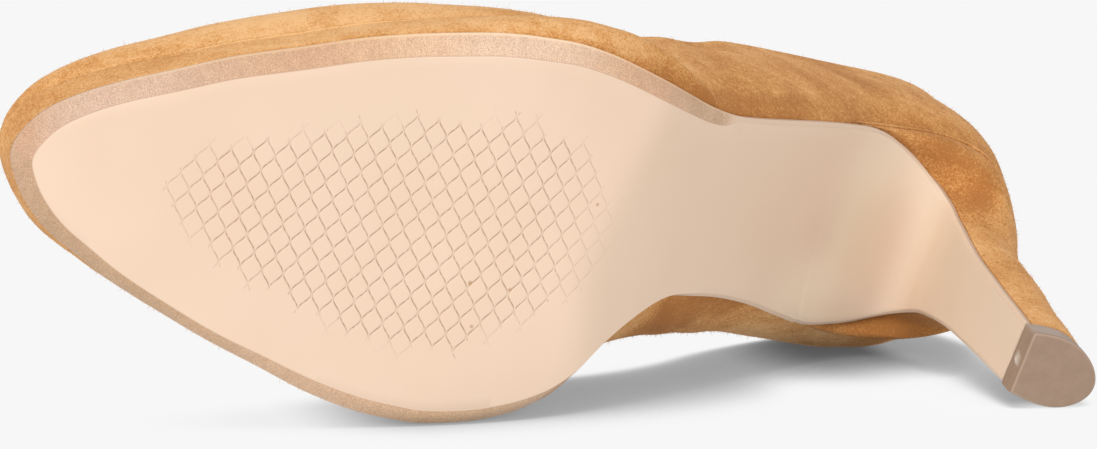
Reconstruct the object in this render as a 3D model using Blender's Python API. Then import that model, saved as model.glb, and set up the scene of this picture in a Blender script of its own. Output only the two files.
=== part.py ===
"""A woman's suede platform pump for the left foot, lying on its inner side.

The shoe is modelled standing, in millimetres: x runs from toe to heel, y to the
inner (medial) side, z up from the ground.  An empty then lays it down on its
inner side, on the ball, the counter and the heel tip, and Blender's metres
come in with the empty's children.
"""
import bpy
import bmesh
import numpy as np
from math import pi, sqrt, sin, cos, tan, radians
from mathutils import Matrix, Vector

# ------------------------------------------------------------------ sizes, mm
MM = 0.001
GAP = 0.3                # clearance between neighbouring pieces
WALL = 1.8               # suede, reinforcement and lining together
SOLE_FORE = 3.6          # sole thickness under the forefoot
SOLE_WAIST = 2.0         # under the arch
SOLE_FLAP = 1.5          # on the heel breast
BEVEL_RISE = 2.9
BEVEL_WIDTH = 0.8        # the small chamfer that is left down the heel breast
EDGE_RISE = 0.6
PLATFORM = 9.8           # covered platform under the forefoot
PLATFORM_END = 145.5
INSOLE = 2.4
TOP_PIECE = 7.0          # plastic top piece under the heel
TOE_X = 5.9              # tip of the sole
BACK_X = 238.5           # back of the heel seat
FLAP_X = 186.0           # where the sole starts to turn into the breast flap
HEEL_FRONT_X = 188.5     # front edge of the heel seat
THROAT_X = 80.0          # front of the foot opening
HEEL_YAW = 6.4           # the heel is turned a little to the shoe's axis, degrees
TIP_MIDDLE_Y = -0.9

# number of sections and points
SOLE_SECTIONS = 44
UPPER_SECTIONS = 48      # on each side
UPPER_ROWS = 12
HEEL_SECTIONS = 18
SEAT_POINTS = 17


def table(columns, rows):
    """a short table: one array for each named column"""
    data = np.array(rows, float)
    return {name: data[:, k] for k, name in enumerate(columns.split())}


# underside of the sole on its centre line: flat at the ball, toe spring, arch
PROFILE = table("x z", [
    (5.9, 8.6), (10, 6.5), (25, 2.6), (45, 0.7), (60, 0.0), (90, 0.0), (105, 1.0), (120, 5.5),
    (135, 14.5), (150, 27.0), (165, 41.0), (180, 56.0), (193, 69.0), (201, 75.6), (206.5, 78.6)])

# heel seat, under the upper and the insole
SEAT = table("x z", [
    (186, 65.4), (190, 69.9), (194, 73.9), (201, 79.2), (208, 82.9), (215, 85.5), (225, 88.3),
    (233, 90.0), (240, 91.2)])

# edge of the bottom in plan, outer side
LATERAL = table("x y", [
    (5.9, 0), (7.3, -5.1), (10.1, -9.6), (15.1, -14.2), (21.6, -18.4), (32.8, -24.2), (41.8, -28.6),
    (53.3, -33.1), (68.7, -38.7), (83.4, -42.6), (95.9, -45), (106.5, -45.5), (118.3, -44),
    (130.4, -40.4), (140.6, -36.5), (146.9, -33.9), (152.9, -32.2), (158.2, -31.5), (170.1, -30.3),
    (182.6, -28.9), (188, -28.1), (196, -27.0), (203, -26.4), (209, -26.1), (214, -25.7),
    (218, -25.0), (222, -23.8), (225.5, -22.3), (229, -19.8), (232.5, -15.5), (235.5, -10.5),
    (237.6, -5.8), (238.5, 0.0)])

# the same, inner side
MEDIAL = table("x y", [
    (5.9, 0), (7.4, 4.7), (10.7, 9.2), (16.7, 14.0), (22.3, 16.8), (28, 19.5), (39.1, 23.7),
    (50.3, 27.6), (61.7, 30.9), (73.1, 34.3), (84.1, 36.2), (93.5, 36.4), (101.8, 35.3),
    (111.5, 33.0), (119.3, 30.2), (124.2, 27.3), (128.8, 22.8), (133.6, 15.9), (141.2, 8.8),
    (148.4, 6.4), (156.5, 6.8), (168.1, 9.3), (179.7, 13.5), (188.8, 16.9), (196, 19.2),
    (204, 20.4), (211, 20.3), (218, 18.7), (225, 15.7), (231, 12.0), (236, 6.8), (238.5, 0.0)])

# the sole's flap: up to the seat, round the bend and down the heel breast
FLAP = table("x z outer inner", [
    (186, 62.1, -28.4, 15.6), (190, 66.1, -27.8, 16.8), (194.2, 70.05, -27.1, 17.2),
    (201, 75.6, -24.6, 17.2), (206.5, 78.6, -21.2, 16.1), (210.5, 78.8, -17.6, 14.3),
    (213.0, 76.0, -14.8, 12.5), (214.2, 70.5, -12.4, 10.4), (214.6, 62, -10.8, 8.7),
    (214.6, 50, -9.3, 7.25), (214.6, 38, -8.65, 6.6), (214.5, 26, -8.15, 6.1),
    (214.45, 14, -7.8, 5.75), (214.4, 7.3, -7.45, 5.4)])

# heel: how far back each section reaches, from the seat (0) to the tip (1)
HEEL = table("along back_x back_z back_y squareness swell", [
    (0.00, 238.3, 90.5, 0.0, 2.2, 0.00),
    (0.10, 237.6, 86.0, 0.0, 2.2, 0.02),
    (0.20, 236.2, 80.5, 0.0, 2.3, 0.03),
    (0.28, 235.0, 75.0, 0.0, 2.4, 0.04),
    (0.345, 234.1, 69.5, 0.1, 2.5, 0.05),
    (0.40, 233.7, 64.0, 0.2, 2.6, 0.06),
    (0.47, 233.3, 57.5, 0.3, 2.7, 0.08),
    (0.56, 232.9, 48.5, 0.4, 2.8, 0.10),
    (0.67, 232.2, 38.0, 0.5, 3.0, 0.11),
    (0.79, 231.5, 26.5, 0.6, 3.2, 0.12),
    (0.90, 231.0, 16.0, 0.6, 3.4, 0.12),
    (1.00, 230.6, 7.3, 0.7, 3.5, 0.12)])

# top of the foot, over the vamp and on over the instep
RIDGE = table("x y z", [
    (3, 0.0, 22), (22, 0.3, 33.5), (40, 0.6, 38.5), (60, 1.0, 43.5), (80, 1.2, 50), (95, 1.0, 57),
    (110, 0.5, 66), (130, -1.5, 82), (150, -4.5, 100)])

# width in plan of the chamfer round the forefoot of the sole
CHAMFER = table("x outer inner", [
    (5.9, 4.0, 4.0), (12, 3.8, 3.8), (22, 3.7, 3.4), (35, 3.9, 2.9), (50, 4.1, 2.8), (62, 4.2, 3.1),
    (75, 4.2, 3.7), (86, 4.3, 3.9), (100, 4.3, 3.6), (112, 4.1, 3.5), (120, 4.1, 3.4), (126, 4.1, 2.8),
    (131, 4.1, 1.9), (136, 4.0, 1.2), (141, 3.8, 0.9), (146, 3.3, 0.9), (150, 2.4, 0.9), (152.6, 0.9, 0.9),
    (240, 0.9, 0.9)])

# how far the platform's covering swells past the sole's edge
SWELL = table("x outer inner", [
    (5.9, 0.0, 0.0), (9, -0.1, 0.5), (16, -0.1, 1.1), (30, 0.1, 0.9), (60, 0.3, 0.8), (90, 1.2, 1.0), (112, 3.5, 1.0),
    (124, 4.2, 0.3), (134, 3.4, -0.2), (142, 1.7, 0.0), (150, 0, 0), (240, 0, 0)])

# sections of the upper: the lean of the wall at its foot (90 is upright) and how
# far that lean carries; where its head would end, set in from the foot and up;
# the lean there and how far it carries; and the height of the topline
OUTER_WALL = table("x lean carry inset rise head_lean head_carry topline", [
    (5.9, 64, 10.2, 0, 0, 0, 12, 50), (18, 67, 14, 0, 0, 0, 17, 50), (38, 66, 17, 0, 0, 0, 22, 50),
    (60, 64, 19, 0, 0, 0, 27, 50), (80, 68, 19, 0, 0, 0, 28, 50.0), (100, 82, 18, 14, 48, 35, 21, 50.0),
    (118, 104, 17, 13, 50, 60, 16, 54.5), (130, 105, 16, 9, 51, 70, 16, 59.5),
    (144, 66, 16, 0, 52, 78, 16, 67.5), (160, 45, 14.5, -4.4, 52, 84, 16, 79.5),
    (180, 49, 13.3, -3.6, 50, 86, 16, 95.5), (200, 48, 13.2, -2.8, 48, 88, 16, 112.5),
    (215, 56, 13.4, -1.6, 48, 91, 16, 125.0), (228, 62, 14, -0.8, 53, 94, 17, 135.0),
    (238.5, 62, 13, 0, 58, 97, 18, 141.0)])
INNER_WALL = table("x lean carry inset rise head_lean head_carry topline", [
    (5.9, 64, 10.2, 0, 0, 0, 12, 50), (18, 62, 13, 0, 0, 0, 16, 50), (38, 72, 16, 0, 0, 0, 20, 50),
    (60, 66, 18, 0, 0, 0, 24, 50), (80, 56, 20, 0, 0, 0, 26, 50.0), (94, 52, 22, 6, 50, 26, 22, 49.8),
    (108, 57, 20, 9, 50, 46, 18, 52), (120, 60, 19, 4, 52, 60, 16, 55.5), (130, 50, 19, -7, 52, 70, 16, 61),
    (142, 35, 18.5, -17.5, 52, 78, 17, 68.5), (160, 33, 17.5, -19.6, 52, 84, 17, 81.0),
    (180, 37, 17, -14.7, 50, 86, 16, 96.5), (200, 40, 16.5, -9.6, 48, 88, 16, 113.0),
    (215, 43, 15.5, -6.1, 48, 90, 16, 125.0), (228, 56, 14, -1.6, 53, 93, 17, 135.0),
    (238.5, 62, 13, 0, 58, 97, 18, 141.0)])

OUTER, INNER = -1, 1     # the two sides, by the sign of y


# ------------------------------------------------------------------ functions
def smooth(xs, ys, x):
    """a smooth curve through short tables, flat where the table turns back"""
    xs, ys, x = np.asarray(xs, float), np.asarray(ys, float), np.asarray(x, float)
    h = np.diff(xs)
    d = np.diff(ys) / h
    m = np.empty(len(xs))
    m[1:-1] = (d[:-1] * h[1:] + d[1:] * h[:-1]) / (h[1:] + h[:-1])
    m[1:-1][d[:-1] * d[1:] <= 0] = 0.0
    m[0], m[-1] = 2 * d[0] - m[1], 2 * d[-1] - m[-2]
    k = np.clip(np.searchsorted(xs, x) - 1, 0, len(xs) - 2)
    t = np.clip((x - xs[k]) / h[k], 0, 1)
    return (ys[k] * (1 + 2 * t) * (1 - t) ** 2 + m[k] * h[k] * t * (1 - t) ** 2
            + ys[k + 1] * t * t * (3 - 2 * t) + m[k + 1] * h[k] * t * t * (t - 1))


def ease(a, b, x):
    t = np.clip((np.asarray(x, float) - a) / (b - a), 0, 1)
    return t * t * (3 - 2 * t)


def station(x):
    """0 at the toe and 1 at the back of the heel, close together at both ends"""
    t = np.clip((np.asarray(x, float) - TOE_X) / (BACK_X - TOE_X), 0, 1)
    return np.arccos(1 - 2 * t) / pi


def place(s):
    return TOE_X + (BACK_X - TOE_X) * (1 - np.cos(pi * np.asarray(s, float))) / 2


def outline(side, s, spread=2e-3):
    """a point on the edge of the bottom, in plan, and the way out from it"""
    rows = LATERAL if side == OUTER else MEDIAL
    knots = station(rows["x"])

    def point(q):
        return np.array([float(place(q)), float(smooth(knots, rows["y"], q))])
    d = point(min(s + spread, 1)) - point(max(s - spread, 0))
    if s < 1e-6 or s > 1 - 1e-6:
        d[0] = 0.0
    n = np.array([-d[1] * side, d[0] * side])
    return point(s), n / np.linalg.norm(n)


def swell(side, x):
    return float(smooth(SWELL["x"], SWELL["outer" if side == OUTER else "inner"], x))


def chamfer(side, x):
    return float(smooth(CHAMFER["x"], CHAMFER["outer" if side == OUTER else "inner"], x))


def under(x):
    return smooth(PROFILE["x"], PROFILE["z"], x)


def sole_thickness(x):
    return (SOLE_FORE + (SOLE_WAIST - SOLE_FORE) * ease(128, 156, x)
            + (SOLE_FLAP - SOLE_WAIST) * ease(196, 206, x))


def arch_slope(x):
    """slope of the underside; left out ahead of the ball, where the sole is cut upright"""
    x = np.minimum(x, 205.5)
    return (under(x + 0.5) - under(x - 0.5)) * ease(100, 125, x)


def sole_top(x):
    return under(x) + sole_thickness(x) * np.sqrt(1 + arch_slope(x) ** 2)


def bed(x):
    """height of what the upper and the insole stand on"""
    platform = (PLATFORM + GAP) * (1 - ease(108, 153, x))
    return np.where(np.asarray(x) < FLAP_X, sole_top(x) + GAP + platform, smooth(SEAT["x"], SEAT["z"], x))


def bezier(a, b, c, d, v):
    v = np.asarray(v, float)[..., None]
    return (1 - v) ** 3 * a + 3 * v * (1 - v) ** 2 * b + 3 * v * v * (1 - v) * c + v ** 3 * d


def foot_inset(x):
    """how far the upper's foot is set in from the edge below it"""
    return 0.8 + (0.4 - 0.8) * float(ease(135, 150, x))


def wall_value(side, column, s):
    rows = OUTER_WALL if side == OUTER else INNER_WALL
    return float(smooth(station(rows["x"]), rows[column], s))


# ------------------------------------------------------------------ meshes
def new_object(name, verts, faces, material, parent, smooth_angle=35.0):
    """a closed mesh in standing millimetres, welded, with its faces turned out"""
    mesh = bpy.data.meshes.new(name)
    bm = bmesh.new()
    points = [bm.verts.new([c * MM for c in v]) for v in verts]
    bm.verts.index_update()
    for face in faces:
        loop = []
        for k in face:
            if not loop or (points[k].co - loop[-1].co).length > 2e-6:
                loop.append(points[k])
        if len(loop) > 1 and (loop[0].co - loop[-1].co).length < 2e-6:
            loop.pop()
        if len(loop) >= 3 and len({v.index for v in loop}) == len(loop):
            try:
                bm.faces.new(loop)
            except ValueError:
                pass
    bmesh.ops.remove_doubles(bm, verts=bm.verts, dist=3e-6)
    bmesh.ops.dissolve_degenerate(bm, edges=bm.edges, dist=1e-6)
    loose = [v for v in bm.verts if not v.link_faces]
    bmesh.ops.delete(bm, geom=loose, context='VERTS')
    bmesh.ops.recalc_face_normals(bm, faces=bm.faces)
    bm.to_mesh(mesh)
    bm.free()
    mesh.shade_smooth()
    mesh.set_sharp_from_angle(angle=radians(smooth_angle))
    mesh.materials.append(material)
    obj = bpy.data.objects.new(name, mesh)
    bpy.context.collection.objects.link(obj)
    obj.parent = parent
    return obj


def skin(rings, first=True, last=True):
    """closed loops of equal count, joined one to the next and capped"""
    n = len(rings[0])
    verts = [p for ring in rings for p in ring]
    faces = []
    for i in range(len(rings) - 1):
        for j in range(n):
            a, b = i * n + j, i * n + (j + 1) % n
            faces.append((a, b, b + n, a + n))
    if first:
        faces.append(tuple(range(n))[::-1])
    if last:
        faces.append(tuple((len(rings) - 1) * n + j for j in range(n)))
    return verts, faces


def material(name, colour, roughness):
    m = bpy.data.materials.new(name)
    m.use_nodes = True
    shader = m.node_tree.nodes["Principled BSDF"]
    shader.inputs["Base Color"].default_value = (*colour, 1.0)
    shader.inputs["Roughness"].default_value = roughness
    shader.inputs["Metallic"].default_value = 0.0
    m.diffuse_color = (*colour, 1.0)
    return m


# ------------------------------------------------------------------ sole
FLAP_ARC = np.r_[0, np.cumsum(np.hypot(np.diff(FLAP["x"]), np.diff(FLAP["z"])))]
HEEL_START = float(np.interp(HEEL_FRONT_X, FLAP["x"][:4], FLAP_ARC[:4]))
# distances along the flap where the sole and the heel both have a section, closest at the bend
FLAP_STOPS = np.interp(np.linspace(0, 1, HEEL_SECTIONS), [0, 0.22, 0.62, 1],
                       [HEEL_START, FLAP_ARC[3], FLAP_ARC[8], FLAP_ARC[-1]])


def flap_at(q):
    """the flap at distance q along it: place, edges, way in, thickness, turn"""
    x, z, yo, yi = [float(smooth(FLAP_ARC, FLAP[c], q)) for c in ("x", "z", "outer", "inner")]
    e, end = 0.4, FLAP_ARC[-1]
    dx = float(smooth(FLAP_ARC, FLAP["x"], min(q + e, end)) - smooth(FLAP_ARC, FLAP["x"], max(q - e, 0)))
    dz = float(smooth(FLAP_ARC, FLAP["z"], min(q + e, end)) - smooth(FLAP_ARC, FLAP["z"], max(q - e, 0)))
    length = sqrt(dx * dx + dz * dz)
    nx, nz = (-dz / length, dx / length) if q < end - 1e-6 else (1.0, 0.0)
    thick = SOLE_WAIST + (SOLE_FLAP - SOLE_WAIST) * float(ease(8, 26, q))
    turn = tan(radians(HEEL_YAW)) * float(ease(FLAP_ARC[3], FLAP_ARC[7], q))
    return x, z, yo, yi, nx, nz, thick, turn


def make_sole():
    across = np.linspace(0, 1, 7)
    rings = []
    for s in np.linspace(0, float(station(FLAP_X)), SOLE_SECTIONS)[:-1]:
        (po, no), (pi_, ni) = outline(OUTER, s), outline(INNER, s)
        x = float(po[0])

        rise = BEVEL_RISE + (EDGE_RISE - BEVEL_RISE) * float(ease(140, 156, x))
        fo, fi = po - no * chamfer(OUTER, x), pi_ - ni * chamfer(INNER, x)
        if x < 60:
            fo[1], fi[1] = min(fo[1], 0), max(fi[1], 0)
        slope = float(arch_slope(x))
        k = 1 / sqrt(1 + slope * slope)
        thick = float(sole_thickness(x))

        def at(p, depth):
            return (p[0] - depth * slope * k, p[1], float(under(p[0])) + depth * k)
        ring = [at(po, rise)] + [at(fo + (fi - fo) * t, 0) for t in across] + [at(pi_, rise), at(pi_, thick)]
        ring += [at(pi_ + (po - pi_) * t, thick) for t in (0.25, 0.5, 0.75)] + [at(po, thick)]
        rings.append(ring)
    for q in np.r_[0, FLAP_STOPS]:
        x, z, yo, yi, nx, nz, thick, turn = flap_at(q)

        def at(y, depth):
            return (x - (y - TIP_MIDDLE_Y) * turn + nx * depth, y, z + nz * depth)
        yo2, yi2 = yo + BEVEL_WIDTH, yi - BEVEL_WIDTH
        ring = [at(yo, EDGE_RISE)] + [at(yo2 + (yi2 - yo2) * t, 0) for t in across]
        ring += [at(yi, EDGE_RISE), at(yi, thick)] + [at(yi + (yo - yi) * t, thick) for t in (0.25, 0.5, 0.75)]
        ring.append(at(yo, thick))
        rings.append(ring)
    return skin(rings, first=False)


# ------------------------------------------------------------------ platform
def make_platform():
    wall = table("height swell inset", [
        (0.0, -0.3, 0.3), (0.12, 0.35, 0.0), (0.35, 0.85, 0.0), (0.65, 1.0, 0.0), (0.9, 0.7, 0.25), (1.0, 0.1, 0.9)])
    rings = []
    for s in np.linspace(0, float(station(PLATFORM_END)), SOLE_SECTIONS):
        sides = []
        for side in (OUTER, INNER):
            p, n = outline(side, s)
            b = swell(side, float(p[0]))
            points = []
            for h, w, i in zip(wall["height"], wall["swell"], wall["inset"]):
                q = p + n * (b * w - i)
                low = float(sole_top(q[0])) + GAP
                high = max(float(bed(q[0])) - GAP, low + 0.5)
                points.append(np.array([q[0], q[1], low + (high - low) * h]))
            sides.append(points)
        o, i = sides

        def across(a, b, t, top):
            p = a + (b - a) * t
            low = float(sole_top(p[0])) + GAP
            p[2] = max(float(bed(p[0])) - GAP, low + 0.5) if top else low
            return p
        ring = o[::-1] + [across(o[0], i[0], t, False) for t in (0.25, 0.5, 0.75)]
        ring += i + [across(i[-1], o[-1], t, True) for t in (0.25, 0.5, 0.75)]
        rings.append(ring)
    return skin(rings, first=False)


# ------------------------------------------------------------------ upper
def ridge_at(x):
    return np.array([x, float(smooth(RIDGE["x"], RIDGE["y"], x)), float(smooth(RIDGE["x"], RIDGE["z"], x))])


def wall_section(side, s, rows):
    """outer face of the upper at one station, from its foot up to the ridge or the topline"""
    p, n = outline(side, s)
    x = float(p[0])
    foot = np.append(p + n * (swell(side, x) * 0.6 - foot_inset(x)), 0.0)
    foot[2] = float(bed(foot[0]))
    # along the inner arch the wall follows the foot, which draws in less than the sole
    if side == INNER:
        _, n = outline(side, s, 2e-3 + 0.1 * float(ease(95, 128, x) * (1 - ease(172, 205, x))))
    out, up = np.array([n[0], n[1], 0.0]), np.array([0.0, 0.0, 1.0])
    lean = radians(wall_value(side, "lean", s))
    low = foot + wall_value(side, "carry", s) * (out * cos(lean) + up * sin(lean))
    # over the vamp the section ends level on the ridge; round the toe the sections fan out
    t = min(max((x - TOE_X) / 62.0, 0), 1)
    head = ridge_at(x + 17.0 * (1 - t) ** 2)
    climb = (ridge_at(head[0] + 1)[2] - ridge_at(head[0] - 1)[2]) / 2
    m = foot - head
    m[2] = 0
    if x > 60:
        m[0] = 0
    m /= np.linalg.norm(m)
    carry = wall_value(side, "head_carry", s)
    high = head + carry * np.array([m[0], m[1], climb * m[0]])
    # behind the throat the wall stands up on its own
    head_lean = radians(wall_value(side, "head_lean", s))
    head2 = foot - out * wall_value(side, "inset", s) + up * wall_value(side, "rise", s)
    high2 = head2 + carry * (out * cos(head_lean) - up * sin(head_lean))
    w = float(ease(84, 128, x))
    head, high = head * (1 - w) + head2 * w, high * (1 - w) + high2 * w
    end = 1.0
    if x > THROAT_X:
        rows_open = OUTER_WALL if side == OUTER else INNER_WALL
        k = int(np.searchsorted(rows_open["x"], THROAT_X - 0.1))
        top = float(smooth(station(rows_open["x"][k:]), rows_open["topline"][k:], s))
        lo, hi = 0.2, 1.0
        for _ in range(40):
            mid = (lo + hi) / 2
            if bezier(foot, low, high, head, [mid])[0][2] < top:
                lo = mid
            else:
                hi = mid
        end = hi
    return bezier(foot, low, high, head, np.linspace(0, 1, rows) * end)


def make_upper():
    throat = float(station(THROAT_X))
    vamp = int(round(UPPER_SECTIONS * 0.36))
    t = np.linspace(0, 1, UPPER_SECTIONS - vamp + 1)[1:]
    # behind the throat the sections are closest at the throat and round the counter
    t = t - 0.55 * np.sin(2 * pi * t) / (2 * pi)
    stations = np.r_[np.linspace(0, throat, vamp + 1), throat + (1 - throat) * t]
    outer_side = [wall_section(OUTER, s, UPPER_ROWS) for s in stations]
    inner_side = [wall_section(INNER, s, UPPER_ROWS) for s in stations]
    columns = np.array(outer_side[::-1] + inner_side[1:-1])      # once round, from the back
    level = list(range(UPPER_SECTIONS, -1, -1)) + list(range(1, UPPER_SECTIONS))
    n, rows = len(columns), UPPER_ROWS
    verts = columns.reshape(-1, 3)
    quads = [((i % n) * rows + j, (i % n) * rows + j + 1, ((i + 1) % n) * rows + j + 1, ((i + 1) % n) * rows + j)
             for i in range(n) for j in range(rows - 1)]
    # the way out at each point, shared where two sections meet
    shared, index = {}, []
    for v in verts:
        index.append(shared.setdefault(tuple(int(round(c / 2e-3)) for c in v), len(shared)))
    normal = np.zeros((len(shared), 3))
    for q in quads:
        a, b, c, d = verts[list(q)]
        for k in q:
            normal[index[k]] += np.cross(c - a, d - b)
    normal = normal[index]
    normal /= np.linalg.norm(normal, axis=1, keepdims=True)
    if np.sum((verts - verts.mean(0)) * normal) < 0:
        normal = -normal
    inside = (verts - normal * WALL).reshape(n, rows, 3)
    for i in range(n):          # the inner face also ends on the bed
        d = columns[i, 1] - columns[i, 0]
        for _ in range(4):
            inside[i, 0] -= d * ((inside[i, 0, 2] - float(bed(inside[i, 0, 0]))) / d[2])
    total = n * rows
    faces = list(quads) + [tuple(total + k for k in q[::-1]) for q in quads]
    for i in range(n):
        a, b = (i % n) * rows, ((i + 1) % n) * rows
        faces.append((a, b, total + b, total + a))
        if min(level[i], level[(i + 1) % n]) >= vamp:
            a, b = a + rows - 1, b + rows - 1
            faces.append((b, a, total + a, total + b))
    return list(verts) + list(inside.reshape(-1, 3)), faces


# ------------------------------------------------------------------ heel
def d_section(u, squareness, bulge):
    """half breadth of a D, from its flat front (0) to its round back (1)"""
    return np.sqrt(np.maximum(1 - u ** squareness, 0)) * (1 + 1.2 * bulge * np.sin(pi * u))


def make_heel():
    stations = np.linspace(float(station(HEEL_FRONT_X)), 1, SEAT_POINTS)
    seat = {}
    for side in (OUTER, INNER):
        seat[side] = np.array([[*(outline(side, s)[0] - outline(side, s)[1] * 0.2), 0] for s in stations])
        seat[side][:, 2] = bed(seat[side][:, 0]) - GAP * 1.5
    middle0 = (seat[OUTER][0, 1] + seat[INNER][0, 1]) / 2
    rings = []
    for q in FLAP_STOPS:
        u = (q - HEEL_START) / (FLAP_ARC[-1] - HEEL_START)
        x, z, yo, yi, nx, nz, thick, turn = flap_at(q)
        depth = thick + GAP
        spare = 0.25 * float(ease(0, 0.12, u))
        yo, yi = yo - spare, yi + spare
        back = [float(smooth(HEEL["along"], HEEL[c], u)) for c in ("back_x", "back_y", "back_z")]
        square, bulge = float(smooth(HEEL["along"], HEEL["squareness"], u)), float(smooth(HEEL["along"], HEEL["swell"], u))
        halves = []
        for side, y, sooner in ((OUTER, yo, 0.5), (INNER, yi, 0.36)):
            w = float(ease(0, sooner, u))
            rim = seat[side]
            front = np.array([x - (y - TIP_MIDDLE_Y) * turn + nx * depth, y, z + nz * depth])
            f = np.clip((rim[:, 0] - rim[0, 0]) / (rim[-1, 0] - rim[0, 0]), 0, 1)
            as_seat = (rim[:, 1] - (middle0 + (rim[-1, 1] - middle0) * f)) / (rim[0, 1] - middle0)
            half = as_seat * (1 - w) + d_section(f, square, bulge) * w
            middle = (yo + yi) / 2
            halves.append(np.stack([front[0] + (back[0] - front[0]) * f,
                                    middle + (back[1] - middle) * f + (y - middle) * half,
                                    front[2] + (back[2] - front[2]) * f], 1))
        if u == 0:
            halves = [seat[OUTER], seat[INNER]]
        ring = list(halves[0]) + list(halves[1][::-1][1:])
        a, b = ring[-1], ring[0]
        rings.append(ring + [a + (b - a) * t for t in (0.25, 0.5, 0.75)])
    verts, faces = skin(rings, first=False)
    n = len(rings[0])
    for k in range(SEAT_POINTS - 1):        # the seat: strips from side to side
        o0, o1, i0, i1 = k, k + 1, 2 * SEAT_POINTS - 2 - k, 2 * SEAT_POINTS - 3 - k
        if k == 0:
            faces.append((o0, o1, i1, i0) + tuple(range(2 * SEAT_POINTS - 1, n)))
        elif o1 == i1:
            faces.append((o0, o1, i0))
        else:
            faces.append((o0, o1, i1, i0))
    return verts, faces


def make_top_piece():
    x, yo, yi = FLAP["x"][-1], FLAP["outer"][-1], FLAP["inner"][-1]
    turn = tan(radians(HEEL_YAW))
    u = np.sin(np.linspace(0, 1, 12) * pi / 2)
    rings = []
    for z, inset in ((0.0, 0.45), (0.45, 0.0), (TOP_PIECE, 0.0)):
        back_x, back_y = HEEL["back_x"][-1] + 0.15 - inset, HEEL["back_y"][-1]
        middle = (yo + yi) / 2
        halves = []
        for y in (yo - 0.15 + inset, yi + 0.15 - inset):
            front = x + inset - (y - TIP_MIDDLE_Y) * turn
            half = d_section(u, HEEL["squareness"][-1], HEEL["swell"][-1])
            halves.append([(front + (back_x - front) * f, middle + (back_y - middle) * f + (y - middle) * h, z)
                           for f, h in zip(u, half)])
        rings.append(halves[0] + halves[1][::-1][1:])
    return skin(rings)


# ------------------------------------------------------------------ insole
def make_insole():
    rings = []
    for s in np.linspace(0, 1, 40):
        edges = []
        for side in (OUTER, INNER):
            p, n = outline(side, s)
            x = float(p[0])
            lean = radians(max(wall_value(side, "lean", s), 25))
            inward = max(0.0, -(INSOLE + GAP) / tan(lean))
            edges.append(p - n * (foot_inset(x) - swell(side, x) * 0.6 + WALL / sin(lean) + inward + 0.6))
        if s < 0.5:
            edges[0][1], edges[1][1] = min(edges[0][1], 0), max(edges[1][1], 0)
        low, high = [], []
        for t in np.linspace(0, 1, 7):
            q = edges[0] + (edges[1] - edges[0]) * t
            z = float(bed(q[0])) + GAP
            low.append((q[0], q[1], z))
            high.append((q[0], q[1], z + INSOLE))
        rings.append(low + high[::-1])
    return skin(rings, first=False, last=False)


# ------------------------------------------------------------------ lying down
def lying_pose(points):
    """rotation that brings the ball, the counter and the heel tip on to the ground"""
    n = np.array([0.2, 0.96, -0.15])
    ball = points[(points[:, 0] > 75) & (points[:, 0] < 125)]
    counter = points[(points[:, 0] > 170) & (points[:, 2] > 84)]
    tip = points[(points[:, 0] > 205) & (points[:, 2] < 20)]
    for _ in range(12):
        a, b, c = [group[np.argmax(group @ n)] for group in (ball, counter, tip)]
        n = np.cross(b - a, c - a)
        n /= np.linalg.norm(n) * np.sign(n[1])
    up = -n
    along = np.array([1.0, 0, 0]) - up[0] * up
    along /= np.linalg.norm(along)
    turn = np.array([along, np.cross(up, along), up])
    laid = points @ turn.T
    low, high = laid.min(0), laid.max(0)
    shift = -np.array([(low[0] + high[0]) / 2, (low[1] + high[1]) / 2, low[2]])
    return turn, shift


def main():
    for obj in list(bpy.data.objects):
        bpy.data.objects.remove(obj, do_unlink=True)
    shapes = {
        "upper": make_upper(), "insole": make_insole(), "platform": make_platform(),
        "outsole": make_sole(), "heel": make_heel(), "top_piece": make_top_piece()}
    turn, shift = lying_pose(np.array([p for verts, _ in shapes.values() for p in verts], float))
    pose = bpy.data.objects.new("lying_pose", None)
    bpy.context.collection.objects.link(pose)
    pose.matrix_world = Matrix.Translation(Vector(shift * MM)) @ Matrix(turn.tolist()).to_4x4()
    finish = {
        "upper": material("suede", (0.56, 0.29, 0.12), 0.9),
        "insole": material("lining", (0.70, 0.55, 0.40), 0.7),
        "platform": material("suede_platform", (0.56, 0.29, 0.12), 0.9),
        "outsole": material("resin_sole", (0.88, 0.66, 0.48), 0.45),
        "heel": material("suede_heel", (0.52, 0.27, 0.11), 0.9),
        "top_piece": material("top_piece_plastic", (0.36, 0.25, 0.18), 0.4)}
    for name, (verts, faces) in shapes.items():
        new_object(name, verts, faces, finish[name], pose)
    bpy.context.view_layer.update()


main()
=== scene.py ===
"""A woman's suede platform pump for the left foot, lying on its inner side: what is seen of it.

Shapes are made standing, in millimetres (x toe to heel, y to the inner side, z up), from the same
tables as the solids, and laid down with the solids' own pose.
"""
import math
import bpy
import bmesh
import numpy as np
from math import pi, sqrt, sin, cos, tan, radians
from mathutils import Matrix, Vector


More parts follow.
